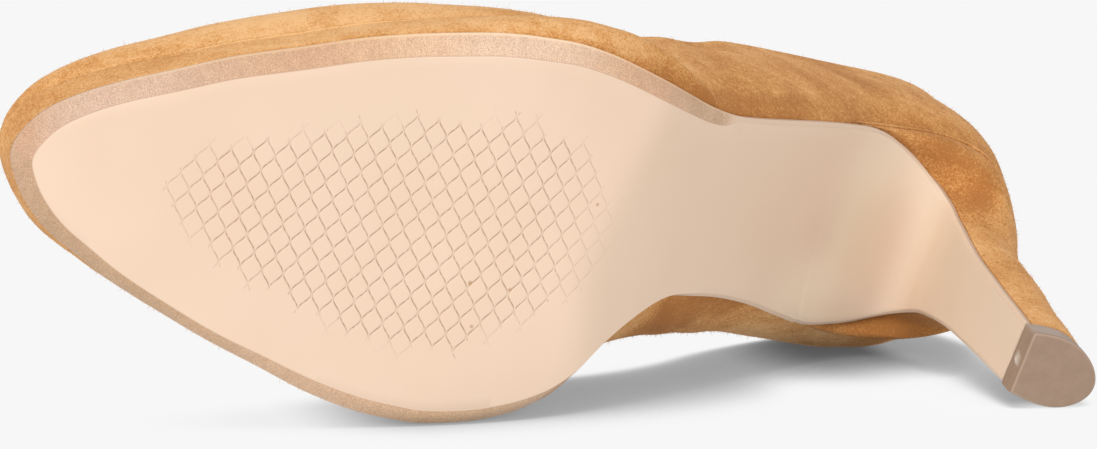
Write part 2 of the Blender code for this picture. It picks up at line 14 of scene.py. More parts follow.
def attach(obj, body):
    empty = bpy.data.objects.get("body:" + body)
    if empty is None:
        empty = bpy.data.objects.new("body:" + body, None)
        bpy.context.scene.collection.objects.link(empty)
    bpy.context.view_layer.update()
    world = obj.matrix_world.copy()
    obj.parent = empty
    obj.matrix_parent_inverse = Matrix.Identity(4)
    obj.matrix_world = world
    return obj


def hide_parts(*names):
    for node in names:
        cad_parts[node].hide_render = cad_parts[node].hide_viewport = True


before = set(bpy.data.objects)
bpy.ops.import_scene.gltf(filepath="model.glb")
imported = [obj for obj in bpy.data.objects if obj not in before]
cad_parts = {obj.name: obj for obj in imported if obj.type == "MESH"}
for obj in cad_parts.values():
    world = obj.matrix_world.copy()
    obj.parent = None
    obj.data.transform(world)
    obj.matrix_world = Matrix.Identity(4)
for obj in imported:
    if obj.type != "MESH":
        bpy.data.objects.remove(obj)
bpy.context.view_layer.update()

# ------------------------------------------------------------------ sizes, mm
GAP = 0.3                # clearance between neighbouring pieces
WALL = 1.8               # suede, reinforcement and lining together
SOLE_FORE = 3.6          # sole thickness under the forefoot
SOLE_WAIST = 2.0         # under the arch
SOLE_FLAP = 1.5          # on the heel breast
BEVEL_RISE = 2.9
BEVEL_WIDTH = 0.8        # the small chamfer that is left down the heel breast
EDGE_RISE = 0.6
PLATFORM = 9.8           # covered platform under the forefoot
PLATFORM_END = 145.5
INSOLE = 2.4
TOP_PIECE = 7.0          # plastic top piece under the heel
TOE_X = 5.9              # tip of the sole
BACK_X = 238.5           # back of the heel seat
FLAP_X = 186.0           # where the sole starts to turn into the breast flap
HEEL_FRONT_X = 188.5     # front edge of the heel seat
THROAT_X = 80.0          # front of the foot opening
HEEL_YAW = 6.4           # the heel is turned a little to the shoe's axis, degrees
TIP_MIDDLE_Y = -0.9

HEEL_SECTIONS = 18


def table(columns, rows):
    """a short table: one array for each named column"""
    data = np.array(rows, float)
    return {name: data[:, k] for k, name in enumerate(columns.split())}


# underside of the sole on its centre line: flat at the ball, toe spring, arch
PROFILE = table("x z", [
    (5.9, 8.6), (10, 6.5), (25, 2.6), (45, 0.7), (60, 0.0), (90, 0.0), (105, 1.0), (120, 5.5),
    (135, 14.5), (150, 27.0), (165, 41.0), (180, 56.0), (193, 69.0), (201, 75.6), (206.5, 78.6)])

# heel seat, under the upper and the insole
SEAT = table("x z", [
    (186, 65.4), (190, 69.9), (194, 73.9), (201, 79.2), (208, 82.9), (215, 85.5), (225, 88.3),
    (233, 90.0), (240, 91.2)])

# edge of the bottom in plan, outer side
LATERAL = table("x y", [
    (5.9, 0), (7.3, -5.1), (10.1, -9.6), (15.1, -14.2), (21.6, -18.4), (32.8, -24.2), (41.8, -28.6),
    (53.3, -33.1), (68.7, -38.7), (83.4, -42.6), (95.9, -45), (106.5, -45.5), (118.3, -44),
    (130.4, -40.4), (140.6, -36.5), (146.9, -33.9), (152.9, -32.2), (158.2, -31.5), (170.1, -30.3),
    (182.6, -28.9), (188, -28.1), (196, -27.0), (203, -26.4), (209, -26.1), (214, -25.7),
    (218, -25.0), (222, -23.8), (225.5, -22.3), (229, -19.8), (232.5, -15.5), (235.5, -10.5),
    (237.6, -5.8), (238.5, 0.0)])

# the same, inner side
MEDIAL = table("x y", [
    (5.9, 0), (7.4, 4.7), (10.7, 9.2), (16.7, 14.0), (22.3, 16.8), (28, 19.5), (39.1, 23.7),
    (50.3, 27.6), (61.7, 30.9), (73.1, 34.3), (84.1, 36.2), (93.5, 36.4), (101.8, 35.3),
    (111.5, 33.0), (119.3, 30.2), (124.2, 27.3), (128.8, 22.8), (133.6, 15.9), (141.2, 8.8),
    (148.4, 6.4), (156.5, 6.8), (168.1, 9.3), (179.7, 13.5), (188.8, 16.9), (196, 19.2),
    (204, 20.4), (211, 20.3), (218, 18.7), (225, 15.7), (231, 12.0), (236, 6.8), (238.5, 0.0)])

# the sole's flap: up to the seat, round the bend and down the heel breast
FLAP = table("x z outer inner", [
    (186, 62.1, -28.4, 15.6), (190, 66.1, -27.8, 16.8), (194.2, 70.05, -27.1, 17.2),
    (201, 75.6, -24.6, 17.2), (206.5, 78.6, -21.2, 16.1), (210.5, 78.8, -17.6, 14.3),
    (213.0, 76.0, -14.8, 12.5), (214.2, 70.5, -12.4, 10.4), (214.6, 62, -10.8, 8.7),
    (214.6, 50, -9.3, 7.25), (214.6, 38, -8.65, 6.6), (214.5, 26, -8.15, 6.1),
    (214.45, 14, -7.8, 5.75), (214.4, 7.3, -7.45, 5.4)])

# heel: how far back each section reaches, from the seat (0) to the tip (1)
HEEL = table("along back_x back_z back_y squareness swell", [
    (0.00, 238.3, 90.5, 0.0, 2.2, 0.00),
    (0.10, 237.6, 86.0, 0.0, 2.2, 0.02),
    (0.20, 236.2, 80.5, 0.0, 2.3, 0.03),
    (0.28, 235.0, 75.0, 0.0, 2.4, 0.04),
    (0.345, 234.1, 69.5, 0.1, 2.5, 0.05),
    (0.40, 233.7, 64.0, 0.2, 2.6, 0.06),
    (0.47, 233.3, 57.5, 0.3, 2.7, 0.08),
    (0.56, 232.9, 48.5, 0.4, 2.8, 0.10),
    (0.67, 232.2, 38.0, 0.5, 3.0, 0.11),
    (0.79, 231.5, 26.5, 0.6, 3.2, 0.12),
    (0.90, 231.0, 16.0, 0.6, 3.4, 0.12),
    (1.00, 230.6, 7.3, 0.7, 3.5, 0.12)])

# top of the foot, over the vamp and on over the instep
RIDGE = table("x y z", [
    (3, 0.0, 22), (22, 0.3, 33.5), (40, 0.6, 38.5), (60, 1.0, 43.5), (80, 1.2, 50), (95, 1.0, 57),
    (110, 0.5, 66), (130, -1.5, 82), (150, -4.5, 100)])

# width in plan of the chamfer round the forefoot of the sole
CHAMFER = table("x outer inner", [
    (5.9, 4.0, 4.0), (12, 3.8, 3.8), (22, 3.7, 3.4), (35, 3.9, 2.9), (50, 4.1, 2.8), (62, 4.2, 3.1),
    (75, 4.2, 3.7), (86, 4.3, 3.9), (100, 4.3, 3.6), (112, 4.1, 3.5), (120, 4.1, 3.4), (126, 4.1, 2.8),
    (131, 4.1, 1.9), (136, 4.0, 1.2), (141, 3.8, 0.9), (146, 3.3, 0.9), (150, 2.4, 0.9), (152.6, 0.9, 0.9),
    (240, 0.9, 0.9)])

# how far the platform's covering swells past the sole's edge
SWELL = table("x outer inner", [
    (5.9, 0.0, 0.0), (9, -0.1, 0.5), (16, -0.1, 1.1), (30, 0.1, 0.9), (60, 0.3, 0.8), (90, 1.2, 1.0), (112, 3.5, 1.0),
    (124, 4.2, 0.3), (134, 3.4, -0.2), (142, 1.7, 0.0), (150, 0, 0), (240, 0, 0)])

# sections of the upper: the lean of the wall at its foot (90 is upright) and how
# far that lean carries; where its head would end, set in from the foot and up;
# the lean there and how far it carries; and the height of the topline
OUTER_WALL = table("x lean carry inset rise head_lean head_carry topline", [
    (5.9, 64, 10.2, 0, 0, 0, 12, 50), (18, 67, 14, 0, 0, 0, 17, 50), (38, 66, 17, 0, 0, 0, 22, 50),
    (60, 64, 19, 0, 0, 0, 27, 50), (80, 68, 19, 0, 0, 0, 28, 50.0), (100, 82, 18, 14, 48, 35, 21, 50.0),
    (118, 104, 17, 13, 50, 60, 16, 54.5), (130, 105, 16, 9, 51, 70, 16, 59.5),
    (144, 66, 16, 0, 52, 78, 16, 67.5), (160, 45, 14.5, -4.4, 52, 84, 16, 79.5),
    (180, 49, 13.3, -3.6, 50, 86, 16, 95.5), (200, 48, 13.2, -2.8, 48, 88, 16, 112.5),
    (215, 56, 13.4, -1.6, 48, 91, 16, 125.0), (228, 62, 14, -0.8, 53, 94, 17, 135.0),
    (238.5, 62, 13, 0, 58, 97, 18, 141.0)])
INNER_WALL = table("x lean carry inset rise head_lean head_carry topline", [
    (5.9, 64, 10.2, 0, 0, 0, 12, 50), (18, 62, 13, 0, 0, 0, 16, 50), (38, 72, 16, 0, 0, 0, 20, 50),
    (60, 66, 18, 0, 0, 0, 24, 50), (80, 56, 20, 0, 0, 0, 26, 50.0), (94, 52, 22, 6, 50, 26, 22, 49.8),
    (108, 57, 20, 9, 50, 46, 18, 52), (120, 60, 19, 4, 52, 60, 16, 55.5), (130, 50, 19, -7, 52, 70, 16, 61),
    (142, 35, 18.5, -17.5, 52, 78, 17, 68.5), (160, 33, 17.5, -19.6, 52, 84, 17, 81.0),
    (180, 37, 17, -14.7, 50, 86, 16, 96.5), (200, 40, 16.5, -9.6, 48, 88, 16, 113.0),
    (215, 43, 15.5, -6.1, 48, 90, 16, 125.0), (228, 56, 14, -1.6, 53, 93, 17, 135.0),
    (238.5, 62, 13, 0, 58, 97, 18, 141.0)])

OUTER, INNER = -1, 1     # the two sides, by the sign of y


# ------------------------------------------------------------------ functions
def smooth(xs, ys, x):
    """a smooth curve through short tables, flat where the table turns back"""
    xs, ys, x = np.asarray(xs, float), np.asarray(ys, float), np.asarray(x, float)
    h = np.diff(xs)
    d = np.diff(ys) / h
    m = np.empty(len(xs))
    m[1:-1] = (d[:-1] * h[1:] + d[1:] * h[:-1]) / (h[1:] + h[:-1])
    m[1:-1][d[:-1] * d[1:] <= 0] = 0.0
    m[0], m[-1] = 2 * d[0] - m[1], 2 * d[-1] - m[-2]
    k = np.clip(np.searchsorted(xs, x) - 1, 0, len(xs) - 2)
    t = np.clip((x - xs[k]) / h[k], 0, 1)
    return (ys[k] * (1 + 2 * t) * (1 - t) ** 2 + m[k] * h[k] * t * (1 - t) ** 2
            + ys[k + 1] * t * t * (3 - 2 * t) + m[k + 1] * h[k] * t * t * (t - 1))


def ease(a, b, x):
    t = np.clip((np.asarray(x, float) - a) / (b - a), 0, 1)
    return t * t * (3 - 2 * t)


def station(x):
    """0 at the toe and 1 at the back of the heel, close together at both ends"""
    t = np.clip((np.asarray(x, float) - TOE_X) / (BACK_X - TOE_X), 0, 1)
    return np.arccos(1 - 2 * t) / pi


def place(s):
    return TOE_X + (BACK_X - TOE_X) * (1 - np.cos(pi * np.asarray(s, float))) / 2


def outline(side, s, spread=2e-3):
    """a point on the edge of the bottom, in plan, and the way out from it"""
    rows = LATERAL if side == OUTER else MEDIAL
    knots = station(rows["x"])

    def point(q):
        return np.array([float(place(q)), float(smooth(knots, rows["y"], q))])
    d = point(min(s + spread, 1)) - point(max(s - spread, 0))
    if s < 1e-6 or s > 1 - 1e-6:
        d[0] = 0.0
    n = np.array([-d[1] * side, d[0] * side])
    return point(s), n / np.linalg.norm(n)


def swell(side, x):
    return float(smooth(SWELL["x"], SWELL["outer" if side == OUTER else "inner"], x))


def chamfer(side, x):
    return float(smooth(CHAMFER["x"], CHAMFER["outer" if side == OUTER else "inner"], x))


def under(x):
    return smooth(PROFILE["x"], PROFILE["z"], x)


def sole_thickness(x):
    return (SOLE_FORE + (SOLE_WAIST - SOLE_FORE) * ease(128, 156, x)
            + (SOLE_FLAP - SOLE_WAIST) * ease(196, 206, x))


def arch_slope(x):
    """slope of the underside; left out ahead of the ball, where the sole is cut upright"""
    x = np.minimum(x, 205.5)
    return (under(x + 0.5) - under(x - 0.5)) * ease(100, 125, x)


def sole_top(x):
    return under(x) + sole_thickness(x) * np.sqrt(1 + arch_slope(x) ** 2)


def bed(x):
    """height of what the upper and the insole stand on"""
    platform = (PLATFORM + GAP) * (1 - ease(108, 153, x))
    return np.where(np.asarray(x) < FLAP_X, sole_top(x) + GAP + platform, smooth(SEAT["x"], SEAT["z"], x))


def bezier(a, b, c, d, v):
    v = np.asarray(v, float)[..., None]
    return (1 - v) ** 3 * a + 3 * v * (1 - v) ** 2 * b + 3 * v * v * (1 - v) * c + v ** 3 * d


def foot_inset(x):
    """how far the upper's foot is set in from the edge below it"""
    return 0.8 + (0.4 - 0.8) * float(ease(135, 150, x))


def wall_value(side, column, s):
    rows = OUTER_WALL if side == OUTER else INNER_WALL
    return float(smooth(station(rows["x"]), rows[column], s))


FLAP_ARC = np.r_[0, np.cumsum(np.hypot(np.diff(FLAP["x"]), np.diff(FLAP["z"])))]
HEEL_START = float(np.interp(HEEL_FRONT_X, FLAP["x"][:4], FLAP_ARC[:4]))
# distances along the flap where the sole and the heel both have a section, closest at the bend
FLAP_STOPS = np.interp(np.linspace(0, 1, HEEL_SECTIONS), [0, 0.22, 0.62, 1],
                       [HEEL_START, FLAP_ARC[3], FLAP_ARC[8], FLAP_ARC[-1]])


def flap_at(q):
    """the flap at distance q along it: place, edges, way in, thickness, turn"""
    x, z, yo, yi = [float(smooth(FLAP_ARC, FLAP[c], q)) for c in ("x", "z", "outer", "inner")]
    e, end = 0.4, FLAP_ARC[-1]
    dx = float(smooth(FLAP_ARC, FLAP["x"], min(q + e, end)) - smooth(FLAP_ARC, FLAP["x"], max(q - e, 0)))
    dz = float(smooth(FLAP_ARC, FLAP["z"], min(q + e, end)) - smooth(FLAP_ARC, FLAP["z"], max(q - e, 0)))
    length = sqrt(dx * dx + dz * dz)
    nx, nz = (-dz / length, dx / length) if q < end - 1e-6 else (1.0, 0.0)
    thick = SOLE_WAIST + (SOLE_FLAP - SOLE_WAIST) * float(ease(8, 26, q))
    turn = tan(radians(HEEL_YAW)) * float(ease(FLAP_ARC[3], FLAP_ARC[7], q))
    return x, z, yo, yi, nx, nz, thick, turn



def ridge_at(x):
    return np.array([x, float(smooth(RIDGE["x"], RIDGE["y"], x)), float(smooth(RIDGE["x"], RIDGE["z"], x))])


def wall_section(side, s, rows):
    """outer face of the upper at one station, from its foot up to the ridge or the topline"""
    p, n = outline(side, s)
    x = float(p[0])
    foot = np.append(p + n * (swell(side, x) * 0.6 - foot_inset(x)), 0.0)
    foot[2] = float(bed(foot[0]))
    # along the inner arch the wall follows the foot, which draws in less than the sole
    if side == INNER:
        _, n = outline(side, s, 2e-3 + 0.1 * float(ease(95, 128, x) * (1 - ease(172, 205, x))))
    out, up = np.array([n[0], n[1], 0.0]), np.array([0.0, 0.0, 1.0])
    lean = radians(wall_value(side, "lean", s))
    low = foot + wall_value(side, "carry", s) * (out * cos(lean) + up * sin(lean))
    # over the vamp the section ends level on the ridge; round the toe the sections fan out
    t = min(max((x - TOE_X) / 62.0, 0), 1)
    head = ridge_at(x + 17.0 * (1 - t) ** 2)
    climb = (ridge_at(head[0] + 1)[2] - ridge_at(head[0] - 1)[2]) / 2
    m = foot - head
    m[2] = 0
    if x > 60:
        m[0] = 0
    m /= np.linalg.norm(m)
    carry = wall_value(side, "head_carry", s)
    high = head + carry * np.array([m[0], m[1], climb * m[0]])
    # behind the throat the wall stands up on its own
    head_lean = radians(wall_value(side, "head_lean", s))
    head2 = foot - out * wall_value(side, "inset", s) + up * wall_value(side, "rise", s)
    high2 = head2 + carry * (out * cos(head_lean) - up * sin(head_lean))
    w = float(ease(84, 128, x))
    head, high = head * (1 - w) + head2 * w, high * (1 - w) + high2 * w
    end = 1.0
    if x > THROAT_X:
        rows_open = OUTER_WALL if side == OUTER else INNER_WALL
        k = int(np.searchsorted(rows_open["x"], THROAT_X - 0.1))
        top = float(smooth(station(rows_open["x"][k:]), rows_open["topline"][k:], s))
        lo, hi = 0.2, 1.0
        for _ in range(40):
            mid = (lo + hi) / 2
            if bezier(foot, low, high, head, [mid])[0][2] < top:
                lo = mid
            else:
                hi = mid
        end = hi
    return bezier(foot, low, high, head, np.linspace(0, 1, rows) * end)


def d_section(u, squareness, bulge):
    """half breadth of a D, from its flat front (0) to its round back (1)"""
    return np.sqrt(np.maximum(1 - u ** squareness, 0)) * (1 + 1.2 * bulge * np.sin(pi * u))



# ------------------------------------------------------------------ standing shoe to lying shoe
TURN = np.array([[0.975402653, -0.217015356, 0.038651884], [-6e-09, 0.175347179, 0.984506667], [-0.220430568, -0.960290432, 0.171034113]])
SHIFT = np.array([-122.605383, -66.264533, 55.845723])           # mm


def lay(points):
    return (np.asarray(points, float) @ TURN.T + SHIFT) * 0.001


# ------------------------------------------------------------------ mesh helpers
def make_piece(name, verts, faces, mat, values=None, sharp=40.0, weld=2e-3, node=None):
    """a piece from standing millimetres; every point keeps its standing place as the attribute "last" """
    verts = np.asarray(verts, float)
    if weld:
        key = np.round(verts / weld).astype(np.int64)
        _, first, index = np.unique(key, axis=0, return_index=True, return_inverse=True)
        index = index.ravel()
        verts_w = verts[first]
        kept = []
        for f in faces:
            g = index[list(f)]
            loop = [int(g[0])]
            for k in g[1:]:
                if k != loop[-1]:
                    loop.append(int(k))
            if len(loop) > 1 and loop[0] == loop[-1]:
                loop.pop()
            if len(loop) >= 3 and len(set(loop)) == len(loop):
                kept.append(loop)
        faces = kept
        values = {k: np.asarray(v)[first] for k, v in (values or {}).items()}
    else:
        verts_w = verts
        values = values or {}
    mesh = bpy.data.meshes.new(name)
    mesh.from_pydata(lay(verts_w).tolist(), [], [list(map(int, f)) for f in faces])
    put(mesh, "last", verts_w)
    for key, v in values.items():
        put(mesh, key, np.asarray(v, float))
    bm = bmesh.new()
    bm.from_mesh(mesh)
    loose = [v for v in bm.verts if not v.link_faces]
    if loose:
        bmesh.ops.delete(bm, geom=loose, context='VERTS')
    bmesh.ops.recalc_face_normals(bm, faces=bm.faces)
    bm.to_mesh(mesh)
    bm.free()
    mesh.shade_smooth()
    mesh.set_sharp_from_angle(angle=math.radians(sharp))
    mesh.materials.append(mat)
    obj = bpy.data.objects.new(name, mesh)
    bpy.context.scene.collection.objects.link(obj)
    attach(obj, "root")
    if node:
        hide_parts(node)
    return obj


def put(mesh, name, v):
    kind = 'FLOAT_VECTOR' if v.ndim == 2 else 'FLOAT'
    att = mesh.attributes.new(name, kind, 'POINT')
    att.data.foreach_set("vector" if v.ndim == 2 else "value", np.ascontiguousarray(v, dtype=np.float32).ravel())


def ring_faces(rings, n, closed=True, start=0):
    i = np.arange(rings - 1)[:, None] * n
    j = np.arange(n if closed else n - 1)[None]
    a, b = i + j, i + (j + 1) % n
    return (np.stack([a, b, b + n, a + n], -1).reshape(-1, 4) + start).tolist()


def grid_normals(verts, quads):
    """unit normals of a mesh of quads, shared where points coincide"""
    key = np.round(verts / 2e-3).astype(np.int64)
    _, index = np.unique(key, axis=0, return_inverse=True)
    index = index.ravel()
    q = np.asarray(quads)
    a, b, c, d = (verts[q[:, k]] for k in range(4))
    fn = np.cross(c - a, d - b)
    total = np.zeros((index.max() + 1, 3))
    for k in range(4):
        np.add.at(total, index[q[:, k]], fn)
    n = total[index]
    return n / np.maximum(np.linalg.norm(n, axis=1, keepdims=True), 1e-12)


def tube(points, radius, sides=8, closed=False, taper=0.0):
    """a round cord along a line of points"""
    p = np.asarray(points, float)
    n = len(p)
    t = np.roll(p, -1, 0) - np.roll(p, 1, 0)
    if not closed:
        t[0], t[-1] = p[1] - p[0], p[-1] - p[-2]
    t /= np.linalg.norm(t, axis=1, keepdims=True)
    up = np.array([0.0, 0.0, 1.0])
    a = np.cross(t, up)
    a /= np.maximum(np.linalg.norm(a, axis=1, keepdims=True), 1e-9)
    b = np.cross(a, t)
    r = np.full(n, radius, float) if np.isscalar(radius) else np.asarray(radius, float)
    if taper:
        f = np.minimum(np.arange(n), np.arange(n)[::-1]) / (taper * n)
        r = r * np.sqrt(np.clip(f, 0.02, 1))
    ang = np.linspace(0, 2 * pi, sides, endpoint=False)
    ring = p[:, None] + r[:, None, None] * (a[:, None] * np.cos(ang)[None, :, None] + b[:, None] * np.sin(ang)[None, :, None])
    verts = ring.reshape(-1, 3)
    faces = ring_faces(n, sides)
    if closed:
        faces += [[(n - 1) * sides + j, (n - 1) * sides + (j + 1) % sides, (j + 1) % sides, j] for j in range(sides)]
    else:
        faces.append(list(range(sides))[::-1])
        faces.append([(n - 1) * sides + j for j in range(sides)])
    return verts, faces


def noise3(p, scale, seed):
    """smooth value noise at points p, with features of about scale"""
    q = np.asarray(p, float) / scale + seed * 17.31
    i = np.floor(q).astype(np.int64)
    f = q - i
    f = f * f * (3 - 2 * f)
    out = 0
    for dx in (0, 1):
        for dy in (0, 1):
            for dz in (0, 1):
                h = (i[..., 0] + dx) * 374761393 + (i[..., 1] + dy) * 668265263 + (i[..., 2] + dz) * 2147483647 + seed * 974711
                h = (h ^ (h >> 13)) * 1274126177
                h = (h ^ (h >> 16)) & 0xFFFFFF
                w = (f[..., 0] if dx else 1 - f[..., 0]) * (f[..., 1] if dy else 1 - f[..., 1]) * (f[..., 2] if dz else 1 - f[..., 2])
                out = out + w * (h / 0xFFFFFF * 2 - 1)
    return out


# ------------------------------------------------------------------ materials
class Nodes:
    """a small helper for node materials"""

    def __init__(self, name, rough, specular=0.3, **direct):
        self.mat = bpy.data.materials.new(name)
        self.mat.use_nodes = True
        self.tree = self.mat.node_tree
        self.shader = self.tree.nodes["Principled BSDF"]
        if not hasattr(rough, "links"):
            self.shader.inputs["Roughness"].default_value = rough
        self.shader.inputs["Specular IOR Level"].default_value = specular
        for key, value in direct.items():
            self.shader.inputs[key.replace("_", " ")].default_value = value

    def new(self, kind, **settings):
        node = self.tree.nodes.new("ShaderNode" + kind)
        for key, value in settings.items():
            setattr(node, key, value)
        return node

    def link(self, a, b):
        self.tree.links.new(a, b)

    def put(self, socket, value):
        if hasattr(value, "node"):
            self.link(value, socket)
        elif isinstance(value, (tuple, list)) and len(value) == 3 and socket.type == 'RGBA':
            socket.default_value = (*value, 1.0)
        else:
            socket.default_value = value

    def last(self):
        return self.new("Attribute", attribute_name="last").outputs["Vector"]

    def value(self, name):
        return self.new("Attribute", attribute_name=name).outputs["Fac"]

    def vector(self, name):
        return self.new("Attribute", attribute_name=name).outputs["Vector"]

    def scaled(self, v, by):
        n = self.new("VectorMath", operation='MULTIPLY')
        self.link(v, n.inputs[0])
        n.inputs[1].default_value = by
        return n.outputs[0]

    def noise(self, v, scale, detail=3.0, rough=0.55, distortion=0.0):
        n = self.new("TexNoise")
        self.link(v, n.inputs["Vector"])
        n.inputs["Scale"].default_value = scale
        n.inputs["Detail"].default_value = detail
        n.inputs["Roughness"].default_value = rough
        n.inputs["Distortion"].default_value = distortion
        return n.outputs["Fac"]

    def math(self, op, a, b=None, c=None, clamp=False):
        n = self.new("Math", operation=op, use_clamp=clamp)
        for k, x in enumerate((a, b, c)):
            if x is not None:
                self.put(n.inputs[k], x)
        return n.outputs[0]

    def separate(self, v):
        n = self.new("SeparateXYZ")
        self.link(v, n.inputs[0])
        return n.outputs

    def ramp(self, v, lo, hi, out_lo=0.0, out_hi=1.0, smoothstep=True):
        n = self.new("MapRange", interpolation_type='SMOOTHSTEP' if smoothstep else 'LINEAR')
        self.put(n.inputs["Value"], v)
        n.inputs["From Min"].default_value = lo
        n.inputs["From Max"].default_value = hi
        n.inputs["To Min"].default_value = out_lo
        n.inputs["To Max"].default_value = out_hi
        return n.outputs["Result"]

    def mix(self, fac, a, b, mode='MIX'):
        n = self.new("Mix", data_type='RGBA', blend_type=mode)
        n.clamp_factor = True
        self.put(n.inputs[0], fac)
        self.put(n.inputs[6], a)
        self.put(n.inputs[7], b)
        return n.outputs[2]

    def bump(self, height, strength, distance, before=None):
        n = self.new("Bump")
        n.inputs["Strength"].default_value = strength
        n.inputs["Distance"].default_value = distance
        self.link(height, n.inputs["Height"])
        if before is not None:
            self.link(before, n.inputs["Normal"])
        return n.outputs["Normal"]

    def finish(self, colour=None, rough=None, normal=None):
        if colour is not None:
            self.put(self.shader.inputs["Base Color"], colour)
        if rough is not None:
            self.put(self.shader.inputs["Roughness"], rough)
        if normal is not None:
            self.link(normal, self.shader.inputs["Normal"])
        return self.mat


def suede(name, light, mid, dark, grain=1.0, sheen=0.14):
    """napped suede: soft cloudy patches, brushed streaks and a fine grain"""
    m = Nodes(name, 0.92, specular=0.10, Sheen_Weight=sheen, Sheen_Roughness=0.5, Sheen_Tint=(1.0, 0.80, 0.58, 1.0))
    p = m.last()
    cloud = m.noise(p, 0.055, 4.0, 0.6, 0.6)
    patch = m.noise(p, 0.17, 3.0, 0.55, 0.9)
    brushed = m.noise(m.scaled(p, (0.30, 1.0, 1.1)), 0.50, 3.0, 0.6, 0.3)
    fine = m.noise(p, 1.5, 4.0, 0.75)
    finer = m.noise(p, 3.6, 2.0, 0.7)
    # the tone attribute carries nap patches and painted light and shade
    tone = m.value("tone")
    k = m.math('MULTIPLY_ADD', m.math('SUBTRACT', cloud, 0.5), 0.60, 0.5)
    k = m.math('MULTIPLY_ADD', m.math('SUBTRACT', patch, 0.5), 0.45, k)
    k = m.math('MULTIPLY_ADD', m.math('SUBTRACT', brushed, 0.5), 0.42, k)
    k = m.math('MULTIPLY_ADD', m.math('SUBTRACT', fine, 0.5), 1.35 * grain, k)
    k = m.math('MULTIPLY_ADD', m.math('SUBTRACT', finer, 0.5), 1.2 * grain, k)
    k = m.math('ADD', k, tone)
    base = m.mix(m.ramp(k, 0.12, 0.50, smoothstep=False), dark, mid)
    base = m.mix(m.ramp(k, 0.48, 0.90, smoothstep=False), base, light)
    height = m.math('MULTIPLY_ADD', fine, 0.7, m.math('MULTIPLY', finer, 0.5))
    normal = m.bump(height, 0.5, 0.00022)
    normal = m.bump(brushed, 0.3, 0.0005, normal)
    return m.finish(base, None, normal)


def grey(m, v):
    n = m.new("CombineColor")
    for k in range(3):
        m.link(v, n.inputs[k])
    return n.outputs[0]


